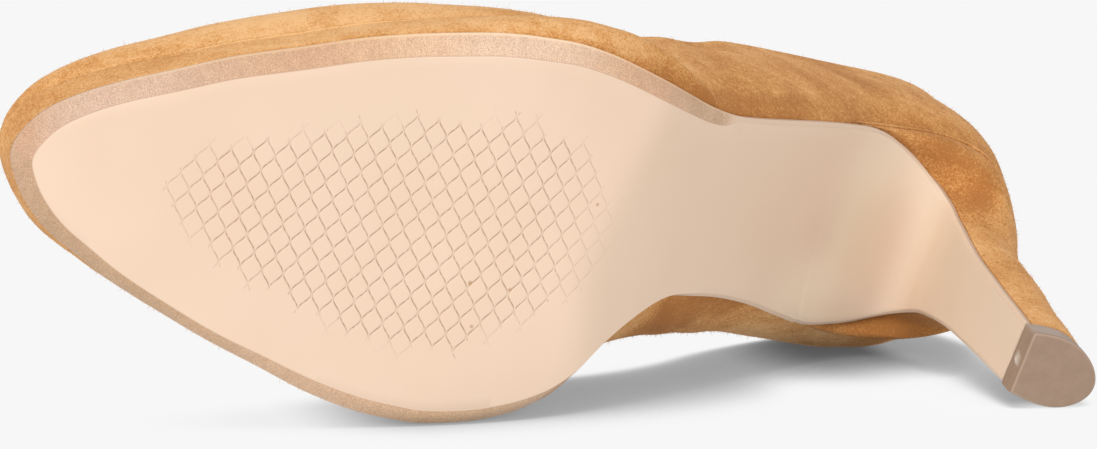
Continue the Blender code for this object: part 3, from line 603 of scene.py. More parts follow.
def resin():
    """moulded resin: flat peach tread, tinted bevel with fine cross streaks, greyer edge"""
    m = Nodes("resin_sole", 0.5, specular=0.32, Sheen_Weight=0.0)
    p = m.last()
    zone = m.value("zone")                       # 0 tread, 1 bevel, 2 edge, 3 inner face
    bevel = m.math('MULTIPLY', m.ramp(zone, 0.35, 0.65), m.ramp(zone, 1.35, 1.65, 1.0, 0.0))
    edge = m.ramp(zone, 1.35, 1.65)
    shade = m.vector("shade")
    inner = m.ramp(m.separate(p)[1], -3.0, 3.0)
    # tread
    soft = m.noise(p, 0.035, 2.0, 0.5)
    pores = m.noise(p, 1.1, 3.0, 0.6)
    tread = m.mix(m.ramp(soft, 0.35, 0.65), (0.760, 0.569, 0.424), (0.748, 0.553, 0.408))
    # engraved lozenges: two families of waves that meet side by side
    t = m.vector("tread")
    sep = m.new("SeparateXYZ")
    m.link(t, sep.inputs[0])
    a, b, mask = sep.outputs
    turn = m.math('MULTIPLY', b, pi)
    wave = m.math('MULTIPLY_ADD', m.math('COSINE', turn), -0.44, 0.5)
    d1 = m.math('PINGPONG', m.math('SUBTRACT', a, wave), 1.0)
    d2 = m.math('PINGPONG', m.math('ADD', a, wave), 1.0)
    lean = m.math('MULTIPLY', m.math('SINE', turn), 0.92)
    cosine = m.math('DIVIDE', 1.0, m.math('SQRT', m.math('MULTIPLY_ADD', lean, lean, 1.0)))
    dist = m.math('MULTIPLY', m.math('MULTIPLY', m.math('MINIMUM', d1, d2), HALF_PITCH), cosine)
    line = m.ramp(dist, 0.05, 0.20, 1.0, 0.0)
    wear = m.ramp(m.noise(p, 0.9, 3.0, 0.65), 0.30, 0.62, 0.45, 1.0)
    line = m.math('MULTIPLY', m.math('MULTIPLY', line, mask), wear)
    # painted shade: the lines are drawn darkest where they slant across the light from above
    slant = m.ramp(m.math('ABSOLUTE', lean), 0.1, 0.7, 0.38, 1.0)
    line = m.math('MULTIPLY', line, slant)
    # the engraved lines are painted dark: partly their own colour, partly painted shade in the grooves
    tread = m.mix(m.math('MULTIPLY', line, 0.95), tread, (0.37, 0.24, 0.15))
    speck = m.value("speck")
    tread = m.mix(m.math('MULTIPLY', m.ramp(speck, 0.2, 0.9), 0.75), tread, (0.40, 0.20, 0.08))
    # bevel
    run = m.new("SeparateXYZ")
    m.link(m.vector("run"), run.inputs[0])
    across = run.outputs[1]
    along = m.vector("run")                      # x: along the edge, y: across it, from the rim
    streak = m.noise(m.scaled(along, (4.2, 0.55, 1.0)), 1.0, 4.0, 0.75)
    broad = m.noise(m.scaled(along, (0.30, 0.22, 1.0)), 1.0, 3.0, 0.6)
    glint = m.noise(p, 4.6, 2.0, 0.75)
    grain = m.noise(p, 4.3, 3.0, 0.8)
    far = m.ramp(m.separate(p)[0], 147.0, 153.0)
    bev = m.mix(m.ramp(broad, 0.36, 0.64), (0.638, 0.408, 0.268), (0.600, 0.376, 0.243))
    bev = m.mix(1.0, bev, grey(m, m.ramp(streak, 0.34, 0.66, 1.09, 0.91)), 'MULTIPLY')
    bev = m.mix(1.0, bev, grey(m, m.ramp(grain, 0.37, 0.63, 1.24, 0.76)), 'MULTIPLY')
    # painted glints: near-white flecks on the bevel, strongest on the top of the toe
    bev = m.mix(m.math('MULTIPLY', m.ramp(glint, 0.60, 0.72), m.value("painted_glint")), bev, (0.96, 0.88, 0.80))
    bev = m.mix(m.math('MULTIPLY', m.ramp(m.noise(p, 2.1, 2.0, 0.7), 0.68, 0.76), 0.35), bev, (0.36, 0.24, 0.17))
    # a pale line along the outer rim of the bevel, on the side turned up: partly the edge's own paler colour, partly
    # painted highlight
    rim = m.math('MULTIPLY', m.ramp(inner, 0.0, 1.0, 0.75, 0.0), m.ramp(m.separate(p)[0], 12.0, 36.0, 0.15, 1.0))
    bev = m.mix(m.math('MULTIPLY', m.ramp(across, 0.10, 0.50, 1.0, 0.0), rim), bev, (0.78, 0.54, 0.34))
    bev = m.mix(m.math('MULTIPLY', m.ramp(zone, 0.66, 0.90, 1.0, 0.0), 0.55), bev, (0.56, 0.33, 0.22))
    bev = m.mix(far, bev, (0.72, 0.53, 0.385))
    colour = m.mix(bevel, tread, bev)
    # the sole's edge ahead of x 150: a painted shadow under the suede darkens it towards the toe, and it is painted
    # darker on the inner side, turned down
    fore_edge_light_and_shade = m.mix(m.ramp(m.separate(p)[0], 5.0, 34.0), (0.36, 0.24, 0.16), (0.67, 0.45, 0.28))
    fore_edge_light_and_shade = m.mix(inner, fore_edge_light_and_shade, (0.46, 0.32, 0.23))
    # behind x 150 the edge is painted paler on the outer side, turned up, and darker on the inner side: painted light
    # and shade
    waist_edge_light_and_shade = m.mix(inner, (0.56, 0.38, 0.265), (0.34, 0.24, 0.19))
    colour = m.mix(edge, colour, m.mix(far, fore_edge_light_and_shade, waist_edge_light_and_shade))
    # the resin's colour times its painted light and shade
    colour = m.mix(1.0, colour, shade, 'MULTIPLY')
    rough = m.math('MULTIPLY_ADD', bevel, -0.05, 0.47)
    rough = m.math('MULTIPLY_ADD', m.math('SUBTRACT', pores, 0.5), 0.10, rough)
    fine = m.math('MULTIPLY', pores, m.ramp(zone, 0.0, 0.6, 0.25, 0.6))
    normal = m.bump(fine, 0.12, 0.0002)
    scored = m.math('MULTIPLY', m.math('ADD', streak, glint), bevel)
    normal = m.bump(scored, 0.40, 0.0002, normal)
    return m.finish(colour, rough, normal)


def wear_plastic():
    m = Nodes("top_piece_plastic", 0.42, specular=0.35)
    p = m.last()
    cloud = m.noise(p, 0.35, 3.0, 0.6)
    dots = m.noise(p, 2.6, 2.0, 0.6)
    base = m.mix(m.ramp(cloud, 0.35, 0.65), (0.313, 0.212, 0.147), (0.290, 0.194, 0.133))
    rim = m.value("rim")
    place = m.separate(p)
    # painted light: the outer side wall, turned up, is painted lighter above its rounded edge
    side = m.math('MULTIPLY', m.ramp(place[2], 0.5, 0.9), m.ramp(place[1], -9.2, -6.5, 1.0, 0.0))
    base = m.mix(m.math('MULTIPLY', side, 0.75), base, (0.50, 0.405, 0.36))
    # painted highlight: the rounded edge of the wearing face is painted lighter
    base = m.mix(m.ramp(rim, 0.15, 0.9), base, (0.385, 0.272, 0.20))
    base = m.mix(m.math('MULTIPLY', m.ramp(dots, 0.66, 0.74), 0.35), base, (0.16, 0.10, 0.075))
    mark = m.value("mark")
    base = m.mix(m.math('MULTIPLY', mark, 0.8), base, (0.78, 0.70, 0.62))
    return m.finish(base, m.math('MULTIPLY_ADD', cloud, 0.12, 0.36), m.bump(dots, 0.12, 0.0002))


def leather(name, a, b, rough=0.5):
    m = Nodes(name, rough, specular=0.3)
    p = m.last()
    cloud = m.noise(p, 0.08, 3.0, 0.6)
    cell = m.new("TexVoronoi", feature='DISTANCE_TO_EDGE')
    m.link(p, cell.inputs["Vector"])
    cell.inputs["Scale"].default_value = 1.3
    creases = m.ramp(cell.outputs["Distance"], 0.0, 0.12)
    base = m.mix(m.ramp(cloud, 0.3, 0.7), a, b)
    base = m.mix(m.math('MULTIPLY', m.ramp(creases, 0.0, 1.0, 1.0, 0.0), 0.25), base, (a[0] * 0.6, a[1] * 0.58, a[2] * 0.55))
    return m.finish(base, m.math('MULTIPLY_ADD', cloud, 0.15, rough - 0.07), m.bump(creases, 0.25, 0.00015))


# ------------------------------------------------------------------ outsole
# leaf of engraved lozenges under the ball
LEAF = table("x outer inner", [
    (33.0, -1.5, 0.0), (38, -8.0, 4.5), (42, -10.4, 6.6), (46, -12.2, 8.8), (50, -14.2, 10.8), (54, -15.7, 12.4), (62, -18.9, 15.2),
    (70, -21.8, 18.0), (78, -24.4, 20.2), (86, -26.6, 21.5), (94, -28.0, 20.5), (98, -28.3, 19.2), (102, -28.3, 17.4),
    (106, -28.0, 14.8), (110, -27.3, 12.2), (114, -26.3, 10.0), (118, -24.2, 7.5), (122, -21.0, 4.0), (126, -16.0, -1.5),
    (128.6, -10.0, -7.0)])
WAVE_U = (0.234671, 0.144709, 0.412056 - 0.5)      # one lozenge each way: per mm of x, of y, and the start
WAVE_V = (0.226695, -0.161321, 0.193767 - 0.5)
HALF_PITCH = 2.167


def cell_strength(i, j):
    """how plainly the lozenge i, j is cut: by how far its middle lies inside the leaf, and by chance"""
    det = WAVE_U[0] * WAVE_V[1] - WAVE_U[1] * WAVE_V[0]
    u, v = i + 0.5 - WAVE_U[2], j + 0.5 - WAVE_V[2]
    x = (u * WAVE_V[1] - v * WAVE_U[1]) / det
    y = (v * WAVE_U[0] - u * WAVE_V[0]) / det
    lo, hi = smooth(LEAF["x"], LEAF["outer"], x), smooth(LEAF["x"], LEAF["inner"], x)
    room = np.minimum(y - lo, hi - y)
    room = np.minimum(room, np.minimum(x - LEAF["x"][0], LEAF["x"][-1] - x) * 0.9)
    h = (i.astype(np.int64) * 73856093) ^ (j.astype(np.int64) * 19349663)
    h = ((h ^ (h >> 11)) * 1274126177) & 0xFFFFFF
    chance = h / 0xFFFFFF - 0.5
    return ease(1.0, 3.4, room + 1.0 * chance) * (1 - 0.88 * ease(107, 128, x)) * (0.40 + 0.60 * ease(33, 50, x))


def lozenge(x, y):
    """place in the lozenge pattern, and how plainly it is cut there"""
    u = WAVE_U[0] * x + WAVE_U[1] * y + WAVE_U[2]
    v = WAVE_V[0] * x + WAVE_V[1] * y + WAVE_V[2]
    mask = np.zeros_like(u)
    for du, dv in ((0, 0), (0.2, 0), (-0.2, 0), (0, 0.2), (0, -0.2)):
        mask = np.maximum(mask, cell_strength(np.floor(u + du), np.floor(v + dv)))
    return u + v, u - v, mask


def wave_distance(a, b):
    wave = 0.5 - 0.44 * np.cos(pi * b)

    def near(t):
        return np.abs((t + 1) % 2 - 1)
    lean = 0.92 * np.sin(pi * b)
    return np.minimum(near(a - wave), near(a + wave)) * HALF_PITCH / np.sqrt(1 + lean * lean)


# small blemishes on the tread: x, y, radius, strength
SPECKS = table("x y r s", [(99.0, 5.3, 0.52, 1.0), (107.5, 5.4, 0.46, 0.9), (101.6, 14.0, 0.46, 0.9), (121.6, -14.0, 0.44, 0.9), (86.3, -13.7, 0.5, 0.4), (64.0, -20.0, 0.3, 0.5), (52.0, 10.0, 0.28, 0.4), (133.0, 4.0, 0.3, 0.4), (25.0, 4.0, 0.25, 0.3)])
DIMPLES = table("x y r d", [(86.3, -13.7, 0.8, 0.07), (60.0, 3.0, 0.6, 0.04), (110.0, 2.0, 0.5, 0.04)])


def tread_features(x, y):
    a, b, mask = lozenge(x, y)
    d = wave_distance(a, b)
    groove = np.exp(-(d / 0.17) ** 2) * mask
    pillow = ease(0.2, 1.3, d) * mask
    depth = 0.065 * groove - 0.006 * pillow
    speck = np.zeros_like(x)
    for sx, sy, r, s in zip(*SPECKS.values()):
        speck = np.maximum(speck, s * np.exp(-(((x - sx) ** 2 + (y - sy) ** 2) / r ** 2)))
    for sx, sy, r, dd in zip(*DIMPLES.values()):
        depth = depth + dd * np.exp(-(((x - sx) ** 2 + (y - sy) ** 2) / r ** 2))
    return depth, a, b, mask, speck


# painted light and shade: how much lighter or darker the resin is painted from place to place: x and y of the middle,
# reach in x and y, change, and the extra change of green and blue
TREAD_SHADES = ((197.0, -20.0, 10.0, 9.0, 0.08, 0.08), (194.0, -6.0, 8.0, 8.0, 0.04, 0.07), (190.0, 8.0, 12.0, 9.0, 0.11, 0.09), (216.0, -4.0, 5.0, 12.0, -0.03, 0.05), (208.0, 0.0, 4.0, 12.0, -0.05, -0.02), (185.0, -5.0, 6.0, 7.0, -0.04, -0.03), (78.0, -22.0, 16.0, 10.0, 0.01, 0.02))
# painted glints on the bevel: x and y of the middle, reach in x and y, strength
PAINTED_GLINTS = ((18.0, -22.0, 12.0, 12.0, 0.8), (30.0, -33.0, 16.0, 8.0, 0.35), (95.0, -44.0, 14.0, 8.0, 0.25))


def blend_of(x, y, spots):
    out = np.zeros_like(x)
    for cx, cy, rx, ry, s in spots:
        out = out + s * np.exp(-((x - cx) / rx) ** 2 - ((y - cy) / ry) ** 2)
    return out


def shade_of(x, y, zone):
    """a factor for each colour: painted light and shade on the resin from place to place"""
    x, y = np.asarray(x, float), np.asarray(y, float)
    ball = np.interp(x - 0.28 * np.sqrt((y + 1) ** 2 + 9), TREAD_RUN["x"], TREAD_RUN["shade"])
    tread = np.repeat(ball[:, None], 3, 1)
    for cx, cy, rx, ry, s, pale in TREAD_SHADES:
        spot = np.exp(-((x - cx) / rx) ** 2 - ((y - cy) / ry) ** 2)[:, None]
        tread = tread * (1 + spot * np.array([s, s + pale, s + pale]))
    outer = np.stack([np.interp(x, BEVEL_OUTER["x"], BEVEL_OUTER[c]) for c in "rgb"], -1)
    inner = np.stack([np.interp(x, BEVEL_INNER["x"], BEVEL_INNER[c]) for c in "rgb"], -1)
    bevel = np.where((y < 0)[:, None], outer, inner)
    return np.where((zone < 0.5)[:, None], tread, bevel)


# painted light and shade along the shoe: the tread lighter over the ball, and factors for each colour along the outer
# and inner bevel
TREAD_RUN = table("x shade", [(0, 1.0), (80, 1.0), (86, 1.01), (95, 1.02), (100, 1.04), (104, 1.05), (108, 1.065), (112, 1.09), (116, 1.115), (119, 1.11), (121.5, 1.08), (124, 1.035), (127, 1.0), (240, 1.0)])
BEVEL_OUTER = table("x r g b", [(3, 0.9, 0.89, 0.89), (8, 0.92, 0.87, 0.84), (11, 0.96, 0.97, 1.02), (15, 0.96, 1.02, 1.10), (20, 0.95, 0.98, 1.05), (25, 0.97, 1.01, 1.07), (32, 0.93, 0.95, 1.0), (40, 0.9, 0.88, 0.86), (50, 0.92, 0.88, 0.82), (60, 0.93, 0.86, 0.78), (70, 1.03, 1.02, 0.93), (80, 1.12, 1.15, 1.14), (90, 1.11, 1.19, 1.25), (100, 1.16, 1.26, 1.36), (110, 1.17, 1.25, 1.32), (120, 1.1, 1.08, 1.03), (130, 1.04, 0.98, 0.93), (140, 0.93, 0.95, 0.91), (147, 0.9, 0.92, 0.9), (153, 1.0, 1.0, 1.0)])
BEVEL_INNER = table("x r g b", [(3, 0.9, 0.89, 0.89), (8, 0.88, 0.86, 0.82), (15, 0.83, 0.83, 0.76), (25, 0.87, 0.87, 0.8), (40, 0.89, 0.89, 0.8), (50, 0.97, 0.97, 0.88), (60, 1.0, 1.01, 0.97), (70, 1.06, 1.08, 1.04), (80, 1.08, 1.10, 1.08), (90, 1.10, 1.12, 1.06), (100, 1.18, 1.20, 1.10), (110, 1.18, 1.22, 1.17), (120, 1.15, 1.18, 1.15), (130, 1.0, 1.0, 1.0), (140, 0.9, 0.92, 0.92), (150, 1.0, 1.0, 1.0)])


# how strong the painted glints on the bevel are
def painted_glint_of(x, y):
    return 0.10 + blend_of(x, y, PAINTED_GLINTS)


BEVEL_STEPS = 7
COARSE = 6


def sole_section(po, no, pi_, ni, s, x, fine):
    """one section of the sole; fine is the number of points over the lozenge leaf"""
    rise = BEVEL_RISE + (EDGE_RISE - BEVEL_RISE) * float(ease(140, 156, x))
    fo, fi = po - no * chamfer(OUTER, x), pi_ - ni * chamfer(INNER, x)
    if x < 60:
        fo[1], fi[1] = min(fo[1], 0), max(fi[1], 0)
    slope = float(arch_slope(x))
    k = 1 / math.sqrt(1 + slope * slope)
    thick = float(sole_thickness(x))
    crown = 0.32 * min(1.0, rise / 2.9)
    pts, zone, run = [], [], []

    def add(p, depth, z, across):
        pts.append((p[0], p[1], depth))
        zone.append(z)
        run.append(across)
    ts = np.linspace(0, 1, BEVEL_STEPS + 1)
    for t in ts[:-1]:
        add(po + (fo - po) * t, rise * (1 - t) - crown * math.sin(pi * t), 1.0, t * 4)
    # the tread: coarse, fine over the leaf, coarse
    if fine > 2:
        lo = float(smooth(LEAF["x"], LEAF["outer"], min(max(x, LEAF["x"][0]), LEAF["x"][-1]))) - 1.4
        hi = float(smooth(LEAF["x"], LEAF["inner"], min(max(x, LEAF["x"][0]), LEAF["x"][-1]))) + 1.4
    else:
        lo, hi = -2.0, 2.0
    span = fi[1] - fo[1]
    tl = min(max((lo - fo[1]) / span, 0.05), 0.9) if span > 1e-6 else 0.3
    th = min(max((hi - fo[1]) / span, tl + 0.04), 0.96) if span > 1e-6 else 0.7
    tt = np.r_[np.linspace(0, tl, COARSE + 1)[:-1], np.linspace(tl, th, fine), np.linspace(th, 1, COARSE + 1)[1:]]
    for t in tt:
        add(fo + (fi - fo) * t, 0.0, 0.0, 0.0)
    for t in ts[:-1][::-1]:
        add(pi_ + (fi - pi_) * t, rise * (1 - t) - crown * math.sin(pi * t), 1.0, t * 4)
    for d in (0.35, 0.8):
        add(pi_, rise + (thick - 0.12 - rise) * d, 2.0, 0)
    add(pi_ - ni * 0.15, thick, 2.0, 0)
    for t in (0.02, 0.25, 0.5, 0.75, 0.98):
        add(pi_ + (po - pi_) * t, thick, 3.0, 0)
    add(po - no * 0.15, thick, 2.0, 0)
    for d in (0.8, 0.35):
        add(po, rise + (thick - 0.12 - rise) * d, 2.0, 0)
    pts = np.array(pts)
    return pts, np.array(zone), np.array(run), slope * k, k


def make_outsole(mat):
    s30, sflap = float(station(34.0)), float(station(FLAP_X))
    toe = np.linspace(0, s30, 48)[:-1]
    ball = station(np.arange(34.0, 135.2, 0.27))
    waist = np.linspace(float(station(135.4)), sflap, 90)[:-1]
    blocks = []
    arc = 0.0
    before = None
    for group, fine in ((toe, 24), (ball, 178), (waist, 24)):
        verts, zones, runs = [], [], []
        for s in group:
            (po, no), (pi_, ni) = outline(OUTER, s), outline(INNER, s)
            x = float(po[0])
            pts, zone, run, sk, k = sole_section(po, no, pi_, ni, s, x, fine)
            if before is not None:
                arc += float(np.linalg.norm(po - before))
            before = po
            depth = pts[:, 2].copy()
            treads = zone == 0
            if treads.any():
                dd, *_ = tread_features(pts[treads, 0], pts[treads, 1])
                depth[treads] = depth[treads] + dd
            px = pts[:, 0] - depth * sk
            pz = np.array([float(u) for u in under(pts[:, 0])]) + depth * k
            verts.append(np.stack([px, pts[:, 1], pz], 1))
            zones.append(zone)
            runs.append(np.stack([np.full(len(pts), arc), run, np.zeros(len(pts))], 1))
        blocks.append((np.array(verts), np.array(zones), np.array(runs)))
    # the flap down the heel breast
    verts, zones, runs = [], [], []
    for q in np.r_[np.linspace(0, FLAP_ARC[8], 70)[:-1], np.linspace(FLAP_ARC[8], FLAP_ARC[-1], 60)]:
        x, z, yo, yi, nx, nz, thick, turn = flap_at(q)
        pts, zone, run = [], [], []

        def add(y, depth, zn, across):
            pts.append((x - (y - TIP_MIDDLE_Y) * turn + nx * depth, y, z + nz * depth))
            zone.append(zn)
            run.append((arc + q, across, 0))
        yo2, yi2 = yo + BEVEL_WIDTH, yi - BEVEL_WIDTH
        ts = np.linspace(0, 1, BEVEL_STEPS + 1)
        for t in ts[:-1]:
            add(yo + (yo2 - yo) * t, EDGE_RISE * (1 - t) - 0.07 * math.sin(pi * t), 1.0, t)
        for t in np.linspace(0, 1, 24 + 2 * COARSE):
            add(yo2 + (yi2 - yo2) * t, 0.0, 0.0, 0)
        for t in ts[:-1][::-1]:
            add(yi + (yi2 - yi) * t, EDGE_RISE * (1 - t) - 0.07 * math.sin(pi * t), 1.0, t)
        for d in (0.35, 0.8):
            add(yi, EDGE_RISE + (thick - 0.1 - EDGE_RISE) * d, 2.0, 0)
        add(yi - 0.1, thick, 2.0, 0)
        for t in (0.02, 0.25, 0.5, 0.75, 0.98):
            add(yi + (yo - yi) * t, thick, 3.0, 0)
        add(yo + 0.1, thick, 2.0, 0)
        for d in (0.8, 0.35):
            add(yo, EDGE_RISE + (thick - 0.1 - EDGE_RISE) * d, 2.0, 0)
        verts.append(pts)
        zones.append(zone)
        runs.append(run)
    blocks.append((np.array(verts), np.array(zones), np.array(runs, float)))
    soften(blocks, 2, 3, arc)
    return join_blocks("sole_resin", blocks, mat)


def soften(blocks, i, j, start):
    """round off the bend where the arch turns down into the flap, on the outer face only"""
    v = np.concatenate([blocks[i][0], blocks[j][0]])
    z = np.concatenate([blocks[i][1], blocks[j][1]])
    a = np.concatenate([blocks[i][2][:, 0, 0], blocks[j][2][:, 0, 0]])
    gap = np.gradient(a)
    weight = np.exp(-0.5 * ((a[:, None] - a[None]) / 3.4) ** 2) * gap[None]
    weight /= weight.sum(1, keepdims=True)
    soft = np.einsum('ij,jkl->ikl', weight, v)
    bend = start + FLAP_ARC[3]
    near = (1 - ease(9, 20, np.abs(a - bend)))[:, None] * np.where(z < 1.5, 1.0, 0.0)
    v = v + (soft - v) * near[..., None]
    n = len(blocks[i][0])
    blocks[i] = (v[:n], blocks[i][1], blocks[i][2])
    blocks[j] = (v[n:], blocks[j][1], blocks[j][2])


def join_blocks(name, blocks, mat):
    """rings of different counts: the finer tread of one block is stitched to the coarser of the next"""
    all_v, all_z, all_r, faces, start = [], [], [], [], 0
    ends = []
    for v, z, r in blocks:
        rings, n = z.shape
        faces += ring_faces(rings, n, True, start)
        ends.append((start, start + (rings - 1) * n, n))
        all_v.append(v.reshape(-1, 3))
        all_z.append(z.ravel())
        all_r.append(r.reshape(-1, 3))
        start += rings * n
    for (f0, l0, n0), (f1, l1, n1) in zip(ends, ends[1:]):
        faces += stitch(l0, n0, f1, n1)
    l0, n0 = ends[-1][1:]
    faces.append([l0 + j for j in range(n0)])
    v, z, r = np.concatenate(all_v), np.concatenate(all_z), np.concatenate(all_r)
    a, b, mask = lozenge(v[:, 0], v[:, 1])
    onto = z < 0.5
    _, _, _, _, speck = tread_features(v[:, 0], v[:, 1])
    on_ball = onto & (v[:, 0] < 150)
    # the shade and glint attributes carry the resin's painted light, shade and glints
    values = {"shade": shade_of(v[:, 0], v[:, 1], z), "painted_glint": painted_glint_of(v[:, 0], v[:, 1]), "zone": z, "run": r, "tread": np.stack([a, b, mask * on_ball], 1), "speck": speck * onto * (v[:, 0] < 180)}
    return make_piece(name, v, faces, mat, values, sharp=28, weld=1e-3, node="outsole")


def stitch(a0, n0, b0, n1):
    """faces between two closed rings whose points match but for the tread, which has more in one of them"""
    head = BEVEL_STEPS + COARSE
    f0, f1 = n0 - 2 * COARSE - 2 * BEVEL_STEPS - 11, n1 - 2 * COARSE - 2 * BEVEL_STEPS - 11
    out = []
    if n0 == n1:
        return [[a0 + j, a0 + (j + 1) % n0, b0 + (j + 1) % n0, b0 + j] for j in range(n0)]
    for j in range(head):
        out.append([a0 + j, a0 + j + 1, b0 + j + 1, b0 + j])
    i = j = 0
    while i < f0 - 1 or j < f1 - 1:
        if j >= f1 - 1 or (i < f0 - 1 and (i + 1) / (f0 - 1) <= (j + 1) / (f1 - 1)):
            out.append([a0 + head + i, a0 + head + i + 1, b0 + head + j])
            i += 1
        else:
            out.append([a0 + head + i, b0 + head + j + 1, b0 + head + j])
            j += 1
    tail0, tail1 = head + f0 - 1, head + f1 - 1
    rest = n0 - tail0
    for k in range(rest):
        out.append([a0 + tail0 + k, a0 + (tail0 + k + 1) % n0, b0 + (tail1 + k + 1) % n1, b0 + tail1 + k])
    return out


# ------------------------------------------------------------------ platform
def nap_tone_and_painted_shade(x, y, z, piece):
    """large soft patches of lighter and darker nap, with painted light and shade on top"""
    p = np.stack([x, y, z], -1)
    t = 0.09 * noise3(p, 26.0, 11) + 0.09 * noise3(p, 9.0, 12)
    for cx, cy, cz, rx, ry, rz, s in PATCHES:
        t = t + s * np.exp(-((x - cx) / rx) ** 2 - ((y - cy) / ry) ** 2 - ((z - cz) / rz) ** 2)
    outer = ease(2, -6, y)
    up = z - np.array([float(bed(v)) for v in np.clip(x, 0, 233)])
    if piece in ("platform", "seam"):
        foot = z - np.array([float(sole_top(v)) for v in np.clip(x, 0, 233)])
        # painted shade: a dark line along the foot of the cover, where it meets the sole, on the outer side
        t = t - 0.34 * np.exp(-(np.clip(foot, 0, None) / 0.8) ** 2) * outer * ease(26, 50, x)
        return t + along(PLATFORM_TONE, x) * outer
    if piece == "upper":
        # along the upper's outer and inner sides: the nap's tone mixed with painted light and shade
        low = along(OUTER_LOW, x) + (along(OUTER_HIGH, x) - along(OUTER_LOW, x)) * ease(3, 8, up)
        t = t + low * outer * (1 - 0.6 * ease(10, 30, up))
        back = along(INNER_LOW, x) + (along(INNER_HIGH, x) - along(INNER_LOW, x)) * ease(3, 9, up)
        t = t + back * ease(-6, 2, y) * (1 - 0.7 * ease(10, 24, up)) * ease(128, 136, x)
    return t


def along(tab, x):
    return np.interp(x, tab["x"], tab["tone"])


def cord_light_and_shade(n, light, dark, sides=12):
    """painted light and shade round a cord: a painted highlight below, a painted shade line on the side turned up"""
    turn = np.sin(np.linspace(0, 2 * pi, sides, endpoint=False))
    return np.tile(light + (dark - light) * ease(-0.75, -0.15, turn), n)


# tone along the shoe, the nap's own tone mixed with painted light and shade: x, change of tone
PLATFORM_TONE = table("x tone", [(0, -0.14), (8, -0.10), (11, -0.08), (15, -0.14), (20, -0.12), (25, -0.08), (32, 0.0), (40, 0.08), (50, 0.24), (60, 0.32), (70, 0.30), (80, 0.34), (90, 0.22), (100, 0.08), (110, 0.18), (120, 0.2), (130, 0.18), (136, 0.0), (140, -0.2), (147, -0.45)])
OUTER_LOW = table("x tone", [(0, -0.05), (15, -0.02), (20, 0.05), (30, 0.02), (40, 0.12), (50, 0.30), (60, 0.22), (70, 0.36), (80, 0.42), (90, 0.10), (100, 0.05), (110, 0.24), (120, -0.10), (130, -0.06), (140, -0.14), (150, -0.36), (160, -0.42), (170, -0.30), (180, -0.14), (190, -0.15), (200, -0.06), (210, -0.14), (220, -0.22), (233, -0.22)])
OUTER_HIGH = table("x tone", [(0, 0.1), (40, 0.25), (50, 0.38), (60, 0.36), (70, 0.42), (80, 0.42), (90, 0.30), (100, 0.15), (110, 0.26), (120, 0.02), (130, -0.14), (140, -0.06), (150, -0.22), (160, -0.08), (170, 0.04), (180, -0.10), (190, -0.15), (200, 0.02), (210, -0.08), (220, 0.0), (233, 0.0)])
INNER_LOW = table("x tone", [(130, 0.0), (140, 0.0), (145, -0.12), (150, -0.36), (165, -0.35), (170, -0.14), (175, 0.02), (180, 0.2), (185, 0.22), (190, 0.28), (195, 0.44), (205, 0.44), (212, 0.1), (233, 0.0)])
INNER_HIGH = table("x tone", [(130, 0.0), (140, 0.3), (145, -0.15), (150, -0.52), (155, -0.50), (160, -0.28), (165, 0.0), (170, 0.0), (175, 0.3), (180, 0.42), (185, 0.45), (190, 0.3), (200, 0.15), (210, 0.0), (233, 0.0)])

# darker and lighter patches of nap, some of them painted shade under the heel seat: x, y, z, reach in x, y and z,
# change of tone
PATCHES = (
    (73.8, -40.9, 17.6, 4.0, 4.0, 4.0, -0.2), (129.0, -43.2, 16.1, 6.0, 9.0, 6.0, -0.12), (152.6, -38.0, 52.2, 3.0, 8.0, 10.0, -0.15),
    (169.2, -34.6, 57.0, 4.0, 8.0, 12.0, -0.12), (197.0, -31.5, 89.7, 5.0, 8.0, 5.0, -0.15),
    (211.9, -25.3, 78.3, 4.0, 5.0, 5.0, -0.28), (218.8, -24.2, 80.3, 7.0, 8.0, 7.0, -0.40), (223.1, -18.0, 78.7, 4.5, 4.5, 5.0, -0.22),
    (224.1, -15.3, 76.2, 3.0, 3.0, 3.0, -0.15), (216.9, -16.3, 77.8, 4.0, 4.0, 4.0, -0.15), (220.7, -12.7, 69.8, 5.0, 5.0, 8.0, -0.12),
    (226.8, -13.4, 74.0, 3.5, 3.5, 3.5, 0.10), (222.0, -9.5, 44.0, 6.0, 5.0, 9.0, -0.12),
    (214.3, 16.0, 79.7, 14.0, 14.0, 14.0, -0.55), (149.0, 12.6, 36.0, 1.6, 8.0, 9.0, -0.35), (156.0, 13.0, 42.0, 1.2, 8.0, 10.0, -0.25),
    (176.0, 12.0, 62.0, 12.0, 8.0, 2.0, -0.2), (190.0, 16.0, 74.0, 14.0, 8.0, 1.6, -0.25), (160.0, 12.0, 47.0, 8.0, 8.0, 1.5, 0.2))


def lift(x):
    """how far above the bed the platform's cover reaches: it is drawn up over the foot of the upper at the toe"""
    return 2.0 * (1 - ease(2, 13, x)) + 0.9 * (1 - ease(8, 42, x))


def cover_top(side, s, up):
    """place on the upper's outer face at a height above the bed"""
    wall = wall_section(side, s, 90)
    z0 = wall[0, 2]
    k = int(np.argmax(wall[:, 2] > z0 + up))
    t = (z0 + up - wall[k - 1, 2]) / (wall[k, 2] - wall[k - 1, 2]) if k else 0.0
    return wall[k - 1] + (wall[k] - wall[k - 1]) * t if k else wall[0]


